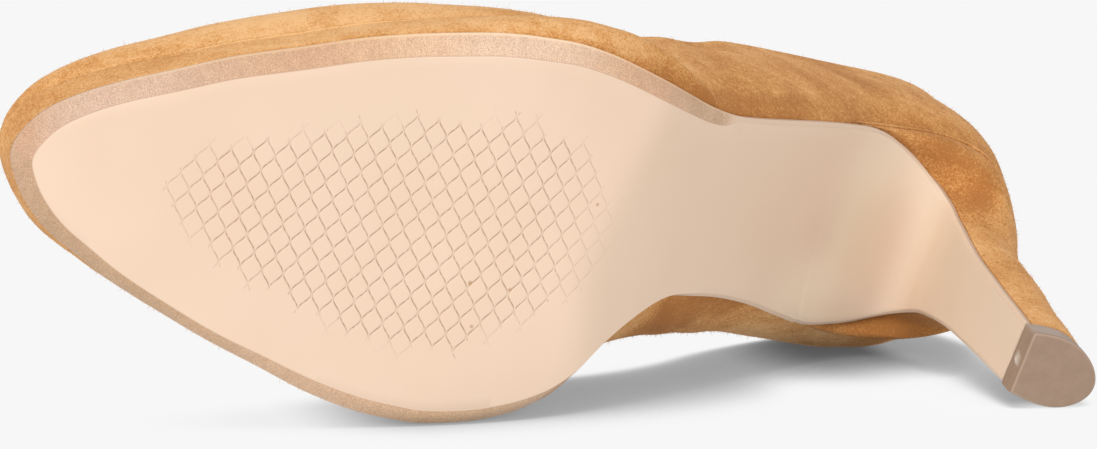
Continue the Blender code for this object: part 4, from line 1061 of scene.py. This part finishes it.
def make_platform_cover(mat):
    wall = table("height swell inset", [
        (0.0, -0.3, 0.35), (0.03, -0.1, 0.12), (0.08, 0.15, 0.02), (0.15, 0.42, 0.0), (0.25, 0.68, 0.0), (0.37, 0.88, 0.0),
        (0.5, 0.98, 0.0), (0.63, 1.0, 0.0), (0.74, 0.94, 0.02), (0.83, 0.82, 0.08), (0.9, 0.66, 0.22), (0.95, 0.5, 0.42),
        (0.985, 0.3, 0.7), (1.0, 0.1, 0.95)])
    stations = np.r_[np.linspace(0, float(station(30)), 50)[:-1], station(np.linspace(30, PLATFORM_END, 170))]
    rings = []
    for s in stations:
        sides = []
        for side in (OUTER, INNER):
            p, n = outline(side, s)
            b = swell(side, float(p[0]))
            pts = []
            up = float(lift(p[0]))
            if up > 0.02:
                top = cover_top(side, s, up)
                reach = (top[:2] + n * 0.10 - (p + n * (b * 0.1 - 0.95))) * min(1.0, up / 0.6)
                climb = max(0.0, float(top[2]) - float(bed(top[0]))) + 0.0
            else:
                reach, climb = np.zeros(2), 0.0
            for h, w, i in zip(*wall.values()):
                q = p + n * (b * w - i) + reach * float(ease(0.15, 1.0, h))
                low = float(sole_top(q[0])) + GAP * 0.3
                high = max(float(bed(q[0])) - GAP * 0.4 + up, low + 0.5)
                pts.append(np.array([q[0], q[1], low + (high - low) * h]))
            sides.append(pts)
        o, i = sides

        def across(a, b, t, top):
            p = a + (b - a) * t
            low = float(sole_top(p[0])) + GAP * 0.3
            p[2] = max(float(bed(p[0])) - GAP * 0.4, low + 0.5) if top else low
            return p
        ring = o[::-1] + [across(o[0], i[0], t, False) for t in (0.04, 0.25, 0.5, 0.75, 0.96)]
        ring += i + [across(i[-1], o[-1], t, True) for t in (0.04, 0.25, 0.5, 0.75, 0.96)]
        rings.append(ring)
    v = np.array(rings)
    n = v.shape[1]
    flat = v.reshape(-1, 3)
    faces = ring_faces(len(v), n)
    # slight unevenness of a hand-covered edge, on the walls only
    normals = grid_normals(flat, faces)
    centre = np.array([100.0, 0, 12.0])
    if np.sum((flat - centre) * normals) < 0:
        normals = -normals
    k = np.tile(np.r_[np.linspace(0, 1, 14), np.zeros(5), np.linspace(0, 1, 14)[::-1], np.zeros(5)], len(v))
    belly = np.sin(pi * k)
    flat = flat + normals * (belly * (0.10 * noise3(flat, 7.0, 21) + 0.06 * noise3(flat, 2.6, 22)))[:, None]
    faces.append([(len(v) - 1) * n + j for j in range(n)])
    return make_piece("platform_cover", flat, faces, mat, {"tone": nap_tone_and_painted_shade(*flat.T, "platform")}, sharp=50, node="platform")


def seam_point(side, s):
    """place of the seam between platform and upper"""
    p, n = outline(side, s)
    q = p + n * (swell(side, float(p[0])) * 0.55 - 0.55)
    z = float(bed(q[0])) - 0.12
    up = float(lift(p[0]))
    if up > 0.02:
        top = cover_top(side, s, up)
        w = min(1.0, up / 0.6)
        q = q + (top[:2] + n * 0.06 - q) * w
        z = z + (max(float(top[2]), float(bed(q[0])) + up * 0.6) - 0.02 - z) * w
    return (q[0], q[1], z)


def make_platform_seam(mat):
    xs = np.arange(9, 147, 1.2)
    front = float(station(9))
    ss = [(OUTER, float(station(x))) for x in xs[::-1]] + [(OUTER, s) for s in np.linspace(front, 0, 14)[1:]]
    ss += [(INNER, s) for s in np.linspace(0, front, 14)[1:-1]] + [(INNER, float(station(x))) for x in xs]
    line = np.array([seam_point(side, s) for side, s in ss])
    line = line + np.stack([np.zeros(len(line)), 0.05 * noise3(line, 5.0, 31), 0.10 * noise3(line, 9.0, 32)], 1)
    v, f = tube(line, 0.44, 12, taper=0.03)
    # the seam cord gets a painted highlight and a painted shade line
    return make_piece("platform_seam", v, f, mat, {"tone": nap_tone_and_painted_shade(*v.T, "seam") + cord_light_and_shade(len(line), 0.42, -0.50)}, sharp=80)


# ------------------------------------------------------------------ upper
ROWS = 46
VAMP = 70
BACK = 128
SUEDE_T = 1.15

# soft creases, as lines across the side of the upper: side, from x and z, to x and z, width, depth
CREASES = ((INNER, 148.5, 28.0, 150.5, 46.0, 1.2, 0.35), (INNER, 155.0, 34.0, 157.5, 52.0, 1.0, 0.25), (INNER, 166.0, 50.0, 190.0, 74.0, 1.2, 0.25), )


def upper_columns():
    throat = float(station(THROAT_X))
    t = np.linspace(0, 1, BACK + 1)[1:]
    t = t - 0.45 * np.sin(2 * pi * t) / (2 * pi)
    stations = np.r_[np.linspace(0, throat, VAMP + 1), throat + (1 - throat) * t]
    total = VAMP + BACK
    outer_side = [wall_section(OUTER, s, ROWS) for s in stations]
    inner_side = [wall_section(INNER, s, ROWS) for s in stations]
    columns = np.array(outer_side[::-1] + inner_side[1:-1])
    level = list(range(total, -1, -1)) + list(range(1, total))
    side = np.array([OUTER] * (total + 1) + [INNER] * (total - 1))
    return columns, np.array(level), side


def crease_depth(p, side):
    """how far the suede is pushed in (below 0) or stands out, from the soft creases"""
    d = np.zeros(len(p))
    for sd, x0, z0, x1, z1, w, dep in CREASES:
        on = (side == sd)
        dx, dz = x1 - x0, z1 - z0
        ln = dx * dx + dz * dz
        t = ((p[:, 0] - x0) * dx + (p[:, 2] - z0) * dz) / ln
        tc = np.clip(t, 0, 1)
        q = np.hypot(p[:, 0] - x0 - dx * tc, p[:, 2] - z0 - dz * tc)
        end = np.sqrt(np.clip(4 * tc * (1 - tc), 0, 1))
        d = d + on * dep * end * (-np.exp(-(q / w) ** 2) + 0.55 * np.exp(-((q - 1.7 * w) / (0.9 * w)) ** 2))
    return d


def shell(columns, normals, level, depth0, depth1, lip):
    """the part of the wall between two depths, with its rims closed; lip rounds the topline"""
    n, rows, _ = columns.shape
    faces_side = [[(i % n) * rows + j, (i % n) * rows + j + 1, ((i + 1) % n) * rows + j + 1, ((i + 1) % n) * rows + j]
                  for i in range(n) for j in range(rows - 1)]

    def at(depth):
        p = columns - normals * depth
        if depth:
            for _ in range(3):
                d = columns[:, 1] - columns[:, 0]
                target = np.array([float(bed(x)) for x in p[:, 0, 0]])
                p[:, 0] -= d * ((p[:, 0, 2] - target) / d[:, 2])[:, None]
        return p
    a, b = at(depth0), at(depth1)
    verts = [a.reshape(-1, 3), b.reshape(-1, 3)]
    total = n * rows
    faces = list(faces_side) + [[total + k for k in q[::-1]] for q in faces_side]
    bottom_z = []
    rim = 5
    up = a[:, -1] - a[:, -3]
    up /= np.linalg.norm(up, axis=1, keepdims=True)
    arc = np.linspace(0, pi, rim + 2)[1:-1]
    mid, half = (a[:, -1] + b[:, -1]) / 2, (a[:, -1] - b[:, -1]) / 2
    lips = mid[:, None] + half[:, None] * np.cos(arc)[None, :, None] + up[:, None] * (np.sin(arc) * lip)[None, :, None]
    verts.append(lips.reshape(-1, 3))
    base = 2 * total
    for i in range(n):
        i2 = (i + 1) % n
        p, q = i * rows, i2 * rows
        faces.append([p, q, total + q, total + p])
        if min(level[i], level[i2]) >= VAMP:
            chain1 = [p + rows - 1] + [base + i * rim + k for k in range(rim)] + [total + p + rows - 1]
            chain2 = [q + rows - 1] + [base + i2 * rim + k for k in range(rim)] + [total + q + rows - 1]
            for k in range(len(chain1) - 1):
                faces.append([chain1[k], chain1[k + 1], chain2[k + 1], chain2[k]])
    return np.concatenate(verts), faces


def make_upper_pieces(suede_mat, lining_mat):
    columns, level, side = upper_columns()
    n, rows, _ = columns.shape
    flat = columns.reshape(-1, 3)
    quads = [[(i % n) * rows + j, (i % n) * rows + j + 1, ((i + 1) % n) * rows + j + 1, ((i + 1) % n) * rows + j]
             for i in range(n) for j in range(rows - 1)]
    normals = grid_normals(flat, quads)
    if np.sum((flat - flat.mean(0)) * normals) < 0:
        normals = -normals
    plain = normals.reshape(n, rows, 3)
    row = np.tile(np.arange(rows), n)
    away = ease(0, 5, row) * 1.0
    sides = np.repeat(side, rows)
    push = crease_depth(flat, sides) + 0.16 * noise3(flat, 15.0, 41) + 0.07 * noise3(flat, 5.0, 42) + 0.025 * noise3(flat, 1.8, 43)
    top_calm = 1 - ease(rows - 6, rows - 1, row) * np.repeat(level >= VAMP, rows)
    moved = (flat + normals * (push * away * top_calm)[:, None]).reshape(n, rows, 3)
    # the folded edge of the topline stands a little proud
    fold = ease(rows - 4.5, rows - 2.0, row) * np.repeat(level >= VAMP, rows)
    moved = moved + (normals * (0.28 * fold)[:, None]).reshape(n, rows, 3)
    v, f = shell(moved, plain, level, 0.0, SUEDE_T, 0.55)
    upper = make_piece("upper_suede", v, f, suede_mat, {"tone": nap_tone_and_painted_shade(*v.T, "upper")}, sharp=60, node="upper")
    short = columns.copy()
    behind = (level >= VAMP)[:, None, None]
    drop = np.linspace(0, 1, rows)[None, :, None] ** 6 * 0.7
    down = columns[:, :1] * 0
    down[:] = (0, 0, -1.0)
    short = short + behind * drop * down
    v, f = shell(short, plain, level, SUEDE_T + 0.02, WALL, 0.3)
    lining = make_piece("lining", v, f, lining_mat, None, sharp=60)
    return upper, lining, moved, plain, level, side


# ------------------------------------------------------------------ heel
def make_heel_cover(mat):
    points = 44
    stations = np.linspace(float(station(HEEL_FRONT_X)), 1, points)
    seat = {}
    for sd in (OUTER, INNER):
        seat[sd] = np.array([[*(outline(sd, s)[0] - outline(sd, s)[1] * 0.2), 0] for s in stations])
        seat[sd][:, 2] = bed(seat[sd][:, 0]) - GAP * 0.6
    middle0 = (seat[OUTER][0, 1] + seat[INNER][0, 1]) / 2
    stops = np.interp(np.linspace(0, 1, 84), [0, 0.3, 0.62, 1], [HEEL_START, FLAP_ARC[3], FLAP_ARC[8], FLAP_ARC[-1]])
    rings = []
    for q in stops:
        u = (q - HEEL_START) / (FLAP_ARC[-1] - HEEL_START)
        x, z, yo, yi, nx, nz, thick, turn = flap_at(q)
        depth = thick + GAP * 0.5
        spare = 0.12 * float(ease(0, 0.12, u))
        yo, yi = yo - spare, yi + spare
        back = [float(smooth(HEEL["along"], HEEL[c], u)) for c in ("back_x", "back_y", "back_z")]
        square, bulge = float(smooth(HEEL["along"], HEEL["squareness"], u)), float(smooth(HEEL["along"], HEEL["swell"], u))
        halves = []
        for sd, y, sooner in ((OUTER, yo, 0.5), (INNER, yi, 0.36)):
            w = float(ease(0, sooner, u))
            rim = seat[sd]
            front = np.array([x - (y - TIP_MIDDLE_Y) * turn + nx * depth, y, z + nz * depth])
            f = np.clip((rim[:, 0] - rim[0, 0]) / (rim[-1, 0] - rim[0, 0]), 0, 1)
            as_seat = (rim[:, 1] - (middle0 + (rim[-1, 1] - middle0) * f)) / (rim[0, 1] - middle0)
            half = as_seat * (1 - w) + d_section(f, square, bulge) * w
            middle = (yo + yi) / 2
            # just under the seat the sides keep its curve
            crest = rim[:, 2] - (rim[0, 2] + (rim[-1, 2] - rim[0, 2]) * f)
            crest = crest * max(0.0, 1 - u / 0.24) ** 1.5
            halves.append(np.stack([front[0] + (back[0] - front[0]) * f,
                                    middle + (back[1] - middle) * f + (y - middle) * half,
                                    front[2] + (back[2] - front[2]) * f + crest], 1))
        if u == 0:
            halves = [seat[OUTER], seat[INNER]]
        ring = list(halves[0]) + list(halves[1][::-1][1:])
        a, b = ring[-1], ring[0]
        rings.append(ring + [a + (b - a) * t for t in (0.03, 0.25, 0.5, 0.75, 0.97)])
    v = np.array(rings)
    n = v.shape[1]
    flat = v.reshape(-1, 3)
    faces = ring_faces(len(v), n)
    normals = grid_normals(flat, faces)
    if np.sum((flat - flat.mean(0)) * normals) < 0:
        normals = -normals
    on_wall = np.tile(np.r_[0, np.ones(2 * points - 3), 0, np.zeros(5)], len(v))
    ring_no = np.repeat(np.arange(len(v)), n)
    on_wall = on_wall * ease(0, 6, ring_no)
    flat = flat + normals * (on_wall * (0.12 * noise3(flat, 9.0, 51) + 0.05 * noise3(flat, 3.0, 52)))[:, None]
    # a little hollow under the back of the seat, a little fuller below it
    hollow = np.exp(-((flat[:, 2] - 67.0) / 8.0) ** 2 - ((flat[:, 0] - 229.0) / 7.0) ** 2) * ease(-3, -8, flat[:, 1])
    full = np.exp(-((flat[:, 2] - 40.0) / 11.0) ** 2 - ((flat[:, 0] - 226.0) / 8.0) ** 2) * ease(-2, -7, flat[:, 1])
    flat = flat + np.array([0.5, -0.85, 0.0]) * (on_wall * (0.6 * full - 0.7 * hollow))[:, None]
    for k in range(points - 1):
        o0, o1, i0, i1 = k, k + 1, 2 * points - 2 - k, 2 * points - 3 - k
        if k == 0:
            faces.append([o0, o1, i1, i0] + list(range(2 * points - 1, n)))
        elif o1 == i1:
            faces.append([o0, o1, i0])
        else:
            faces.append([o0, o1, i1, i0])
    faces.append([(len(v) - 1) * n + j for j in range(n)])
    return make_piece("heel_cover", flat, faces, mat, {"tone": nap_tone_and_painted_shade(*flat.T, "heel")}, sharp=55, node="heel")


def make_heel_seam(mat):
    """the raised edge where the heel's cover meets the upper"""
    line = []
    a, b = float(station(HEEL_FRONT_X - 1.0)), 1.0
    for sd, ss in ((OUTER, np.linspace(a, b, 70)), (INNER, np.linspace(b, a, 70)[1:])):
        for s in ss:
            p, n = outline(sd, s)
            q = p + n * 0.05
            line.append((q[0], q[1], float(bed(q[0])) - 0.25))
    line = np.array(line)
    line = line + np.stack([np.zeros(len(line)), np.zeros(len(line)), 0.12 * noise3(line, 8.0, 61)], 1)
    v, f = tube(line, 0.40, 12, taper=0.05)
    # the seam cord gets a painted highlight and a painted shade line
    return make_piece("heel_seam", v, f, mat, {"tone": nap_tone_and_painted_shade(*v.T, "heel") + cord_light_and_shade(len(line), 0.10, -0.25)}, sharp=80)


def make_top_piece_wear(mat):
    x, yo, yi = FLAP["x"][-1], FLAP["outer"][-1], FLAP["inner"][-1]
    turn = math.tan(math.radians(HEEL_YAW))
    u = np.sin(np.linspace(0, 1, 40) * pi / 2)
    rings, rims = [], []
    profile = [(0.0, 3.2, 0.0), (0.0, 1.6, 0.0), (0.0, 0.9, 0.0), (0.0, 0.60, 0.05), (0.03, 0.42, 0.35), (0.12, 0.22, 0.8),
               (0.26, 0.09, 0.7), (0.45, 0.0, 0.25), (1.0, -0.04, 0.0), (3.5, -0.06, 0.0), (5.6, -0.04, 0.0), (6.7, 0.0, 0.0), (TOP_PIECE, 0.12, 0.0)]
    for z, inset, rim in profile:
        back_x, back_y = HEEL["back_x"][-1] + 0.15 - inset, HEEL["back_y"][-1]
        middle = (yo + yi) / 2
        halves = []
        for y in (yo - 0.15 + inset, yi + 0.15 - inset):
            front = x + inset - (y - TIP_MIDDLE_Y) * turn
            half = d_section(u, HEEL["squareness"][-1], HEEL["swell"][-1])
            halves.append([(front + (back_x - front) * f, middle + (back_y - middle) * f + (y - middle) * h, z) for f, h in zip(u, half)])
        ring = halves[0] + halves[1][::-1][1:]
        a, b = np.array(ring[-1]), np.array(ring[0])
        ring = [np.array(r) for r in ring] + [a + (b - a) * t for t in np.linspace(0, 1, 14)[1:-1]]
        rings.append(ring)
        rims += [rim] * len(ring)
    v = np.array(rings, float)
    n = v.shape[1]
    flat = v.reshape(-1, 3)
    faces = ring_faces(len(v), n)
    # a moulding nub on the front face
    nub = np.array([x - (-0.6 - TIP_MIDDLE_Y) * turn, -0.6, 3.6])
    dist = np.linalg.norm((flat - nub) * (1, 1, 0.8), axis=1)
    dist = dist * (1 + 0.30 * noise3(flat, 0.9, 71))
    bump = 0.40 * np.exp(-(dist / 0.75) ** 2)
    flat = flat - np.stack([bump, bump * 0, bump * 0], 1)
    mark = np.exp(-(dist / 0.9) ** 4)
    faces.append(list(range(n))[::-1])
    faces.append([(len(v) - 1) * n + j for j in range(n)])
    return make_piece("top_piece_wear", flat, faces, mat, {"rim": np.array(rims), "mark": mark}, sharp=50, node="top_piece")


# ------------------------------------------------------------------ insole sock
def make_sock(mat):
    ts = np.linspace(0, 1, 31)
    rings = []
    for s in np.linspace(0, 1, 150):
        edges = []
        for side in (OUTER, INNER):
            p, n = outline(side, s)
            x = float(p[0])
            lean = math.radians(max(wall_value(side, "lean", s), 25))
            inward = max(0.0, -(INSOLE + GAP) / math.tan(lean))
            edges.append(p - n * (foot_inset(x) - swell(side, x) * 0.6 + WALL / math.sin(lean) + inward + 0.35))
        if s < 0.5:
            edges[0][1], edges[1][1] = min(edges[0][1], 0), max(edges[1][1], 0)
        low, high = [], []
        for t in ts:
            q = edges[0] + (edges[1] - edges[0]) * t
            z = float(bed(q[0])) + GAP * 0.3
            e = min(t, 1 - t)
            dome = INSOLE - 0.25 * (1 - min(1.0, e / 0.06)) ** 2
            low.append((q[0], q[1], z))
            high.append((q[0], q[1], z + dome))
        rings.append(low + high[::-1])
    v = np.array(rings)
    flat = v.reshape(-1, 3)
    return make_piece("insole_sock", flat, ring_faces(len(v), v.shape[1]), mat, None, sharp=55, node="insole")


# ------------------------------------------------------------------ nap
def make_nap(name, objects, per_mm2, length, mat, seed, node_parent=None):
    """short fibres standing off the suede"""
    rng = np.random.default_rng(seed)
    inv = np.linalg.inv(TURN)
    verts, faces, tones = [], [], []
    for obj, keep in objects:
        mesh = obj.data
        mesh.calc_loop_triangles()
        nt = len(mesh.loop_triangles)
        tri = np.empty(nt * 3, dtype=np.int64)
        mesh.loop_triangles.foreach_get("vertices", tri)
        tri = tri.reshape(-1, 3)
        co = np.empty(len(mesh.vertices) * 3)
        mesh.vertices.foreach_get("co", co)
        co = (co.reshape(-1, 3) * 1000 - SHIFT) @ TURN
        a, b, c = co[tri[:, 0]], co[tri[:, 1]], co[tri[:, 2]]
        nrm = np.cross(b - a, c - a)
        area = np.linalg.norm(nrm, axis=1) / 2
        nrm /= np.maximum(area[:, None] * 2, 1e-12)
        centre = (a + b + c) / 3
        ok = keep(centre, nrm)
        area = np.where(ok, area, 0)
        count = int(area.sum() * per_mm2)
        pick = rng.choice(nt, size=count, p=area / area.sum())
        r1, r2 = np.sqrt(rng.random(count)), rng.random(count)
        p = (1 - r1)[:, None] * a[pick] + (r1 * (1 - r2))[:, None] * b[pick] + (r1 * r2)[:, None] * c[pick]
        d = nrm[pick] + rng.normal(0, 0.55, (count, 3))
        d /= np.linalg.norm(d, axis=1, keepdims=True)
        ln = length * np.where(rng.random(count) < 0.16, 1.0 + 1.3 * rng.random(count), 0.35 + 0.55 * rng.random(count))
        sidev = np.cross(d, rng.normal(0, 1, (count, 3)))
        sidev /= np.maximum(np.linalg.norm(sidev, axis=1, keepdims=True), 1e-9)
        thick = np.full((count, 1), 0.024)
        dark = rng.random(count) < 0.06
        thick[dark] = 0.036
        ln = np.where(dark, length * (1.0 + 1.1 * rng.random(count)), ln)
        bend = rng.normal(0, 0.25, (count, 3)) * ln[:, None]
        base = p - nrm[pick] * 0.05
        mid = base + d * (ln * 0.55)[:, None] + bend * 0.3
        tip = base + d * ln[:, None] + bend
        clear = ((base + d * ln[:, None] + bend) @ TURN[2] + SHIFT[2] > 0.05) & (mid @ TURN[2] + SHIFT[2] > 0.05)
        base, mid, tip, sidev, thick, dark = base[clear], mid[clear], tip[clear], sidev[clear] * thick[clear], None, dark[clear]
        count = int(clear.sum())
        k0 = sum(len(x) for x in verts)
        block = np.stack([base - sidev, base + sidev, mid + sidev * 0.8, mid - sidev * 0.8, tip], 1).reshape(-1, 3)
        verts.append(block)
        i = np.arange(count)[:, None] * 5 + k0
        faces += np.concatenate([i, i + 1, i + 2, i + 3], 1).tolist()
        faces += np.concatenate([i + 3, i + 2, i + 4], 1).tolist()
        tones.append(np.repeat(np.where(dark, -0.55, rng.normal(0.05, 0.16, count)), 5))
    v = np.concatenate(verts)
    mesh = bpy.data.meshes.new(name)
    mesh.from_pydata(lay(v).tolist(), [], faces)
    put(mesh, "last", v)
    put(mesh, "tone", np.concatenate(tones))
    mesh.materials.append(mat)
    obj = bpy.data.objects.new(name, mesh)
    bpy.context.scene.collection.objects.link(obj)
    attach(obj, "root")
    return obj


# ------------------------------------------------------------------ floor, light, camera
def make_floor():
    bm = bmesh.new()
    w, d = 9.0, 9.0
    for a, b in ((-w, -d), (w, -d), (w, d), (-w, d)):
        bm.verts.new((a, b, 0.0))
    bm.faces.new(list(bm.verts))
    mesh = bpy.data.meshes.new("floor")
    bm.to_mesh(mesh)
    bm.free()
    # an emitting white floor: evenly bright, and darker only where the shoe lies close to it, a painted shadow from
    # ambient occlusion
    m = Nodes("floor", 0.9, specular=0.0)
    close = m.new("AmbientOcclusion", samples=24)
    # the painted shadow reaches furthest in front of the arch and the ball
    x, y = m.separate(m.new("TexCoord").outputs["Object"])[:2]
    reach = m.math('MULTIPLY', m.ramp(x, -0.075, -0.010, 0.45, 1.10), m.ramp(x, 0.012, 0.055, 1.0, 0.40))
    reach = m.math('MULTIPLY', reach, m.ramp(x, 0.066, 0.082, 1.0, 0.85))
    reach = m.math('MULTIPLY', reach, m.ramp(x, 0.086, 0.110, 1.0, 0.35))
    m.link(m.math('MULTIPLY', reach, NEAR), close.inputs["Distance"])
    lights = []
    for stops in (FLOOR_WIDE, FLOOR_CLOSE):
        light = m.new("FloatCurve")
        curve = light.mapping.curves[0]
        for k, stop in enumerate(stops):
            if k < 2:
                curve.points[k].location = stop
            else:
                curve.points.new(*stop)
        light.mapping.update()
        m.link(close.outputs["AO"], light.inputs["Value"])
        lights.append(light.outputs[0])
    # a darker painted shadow where the quarter and heel lie closest to the floor
    heavy = m.math('MULTIPLY', m.ramp(x, 0.046, 0.070), m.ramp(x, 0.080, 0.090, 1.0, 0.0))
    shown = m.mix(heavy, grey(m, lights[0]), grey(m, lights[1]))
    # the heel's tip touches down, and the painted shadow is lightened in front of it
    tip = m.math('MULTIPLY', m.ramp(x, 0.078, 0.092), m.ramp(y, -0.068, -0.052, 0.80, 0.0))
    shown = m.mix(tip, shown, (0.93, 0.93, 0.93))
    # the painted shadow is lightened towards the toe
    shown = m.mix(m.ramp(x, -0.062, -0.034, 0.85, 0.0), shown, (0.93, 0.93, 0.93))
    glow = m.new("Emission")
    m.link(shown, glow.inputs["Color"])
    out = m.tree.nodes["Material Output"]
    m.link(glow.outputs[0], out.inputs["Surface"])
    m.tree.nodes.remove(m.shader)
    mesh.materials.append(m.mat)
    obj = bpy.data.objects.new("floor", mesh)
    bpy.context.scene.collection.objects.link(obj)


def lamp(name, kind, energy, towards, **settings):
    data = bpy.data.lights.new(name, kind)
    data.energy = energy
    for k, v in settings.items():
        setattr(data, k, v)
    obj = bpy.data.objects.new(name, data)
    obj.rotation_euler = Vector(towards).to_track_quat('Z', 'Y').to_euler()
    bpy.context.scene.collection.objects.link(obj)
    return obj


NEAR = 0.09
FLOOR_WIDE = ((0.0, 0.26), (1.0, 0.93), (0.05, 0.29), (0.10, 0.335), (0.15, 0.355), (0.22, 0.37), (0.32, 0.42), (0.41, 0.555), (0.48, 0.72), (0.53, 0.83), (0.58, 0.91), (0.64, 0.93), (0.70, 0.93))
FLOOR_CLOSE = ((0.0, 0.09), (1.0, 0.93), (0.05, 0.10), (0.10, 0.13), (0.15, 0.155), (0.20, 0.175), (0.30, 0.28), (0.43, 0.50), (0.50, 0.64), (0.57, 0.78), (0.63, 0.86), (0.68, 0.92), (0.74, 0.93))
WORLD = 0.66
KEY = 1.9


def make_stage():
    scene = bpy.context.scene
    make_floor()
    world = bpy.data.worlds.new("studio")
    scene.world = world
    world.use_nodes = True
    back = world.node_tree.nodes["Background"]
    back.inputs["Color"].default_value = (1.0, 1.0, 1.0, 1.0)
    back.inputs["Strength"].default_value = WORLD
    lamp("key", 'SUN', KEY, (-0.38, -0.75, 0.54), angle=math.radians(40))
    scene.view_settings.view_transform = 'Standard'
    scene.view_settings.look = 'None'
    cam = bpy.data.cameras.new("camera")
    cam.sensor_width = 36.0
    cam.lens = 194.93163
    cam.clip_start, cam.clip_end = 0.05, 50.0
    obj = bpy.data.objects.new("camera", cam)
    turn = Matrix(((0.971388726, 0.026560906, -0.236005146), (-0.237494441, 0.110941128, -0.965032884), (0.000550527, 0.993471994, 0.114075025))).to_4x4()
    turn.translation = (-0.287919113, -1.196098405, 0.173845674)
    obj.matrix_world = turn
    scene.collection.objects.link(obj)
    scene.camera = obj


def main():
    sole = resin()
    nap = suede("suede", (0.80, 0.472, 0.218), (0.635, 0.30, 0.094), (0.42, 0.165, 0.044), sheen=0.08)
    edge = suede("suede_edge", (0.82, 0.49, 0.215), (0.61, 0.295, 0.097), (0.38, 0.16, 0.048), sheen=0.08)
    lining_mat = leather("lining_leather", (0.74, 0.58, 0.42), (0.68, 0.52, 0.37))
    sock_mat = leather("sock_leather", (0.72, 0.56, 0.41), (0.64, 0.49, 0.35), 0.45)
    make_outsole(sole)
    platform = make_platform_cover(nap)
    make_platform_seam(edge)
    upper, _, *_ = make_upper_pieces(nap, lining_mat)
    heel = make_heel_cover(nap)
    make_heel_seam(edge)
    make_top_piece_wear(wear_plastic())
    make_sock(sock_mat)

    def walls(c, n):
        return (np.abs(n[:, 2]) < 0.97)

    def outside(c, n):
        return n[:, 2] > -0.6
    make_nap("nap_fibres", [(platform, walls), (heel, walls), (upper, outside)], 1.0, 0.5, edge, 7)
    make_stage()


main()
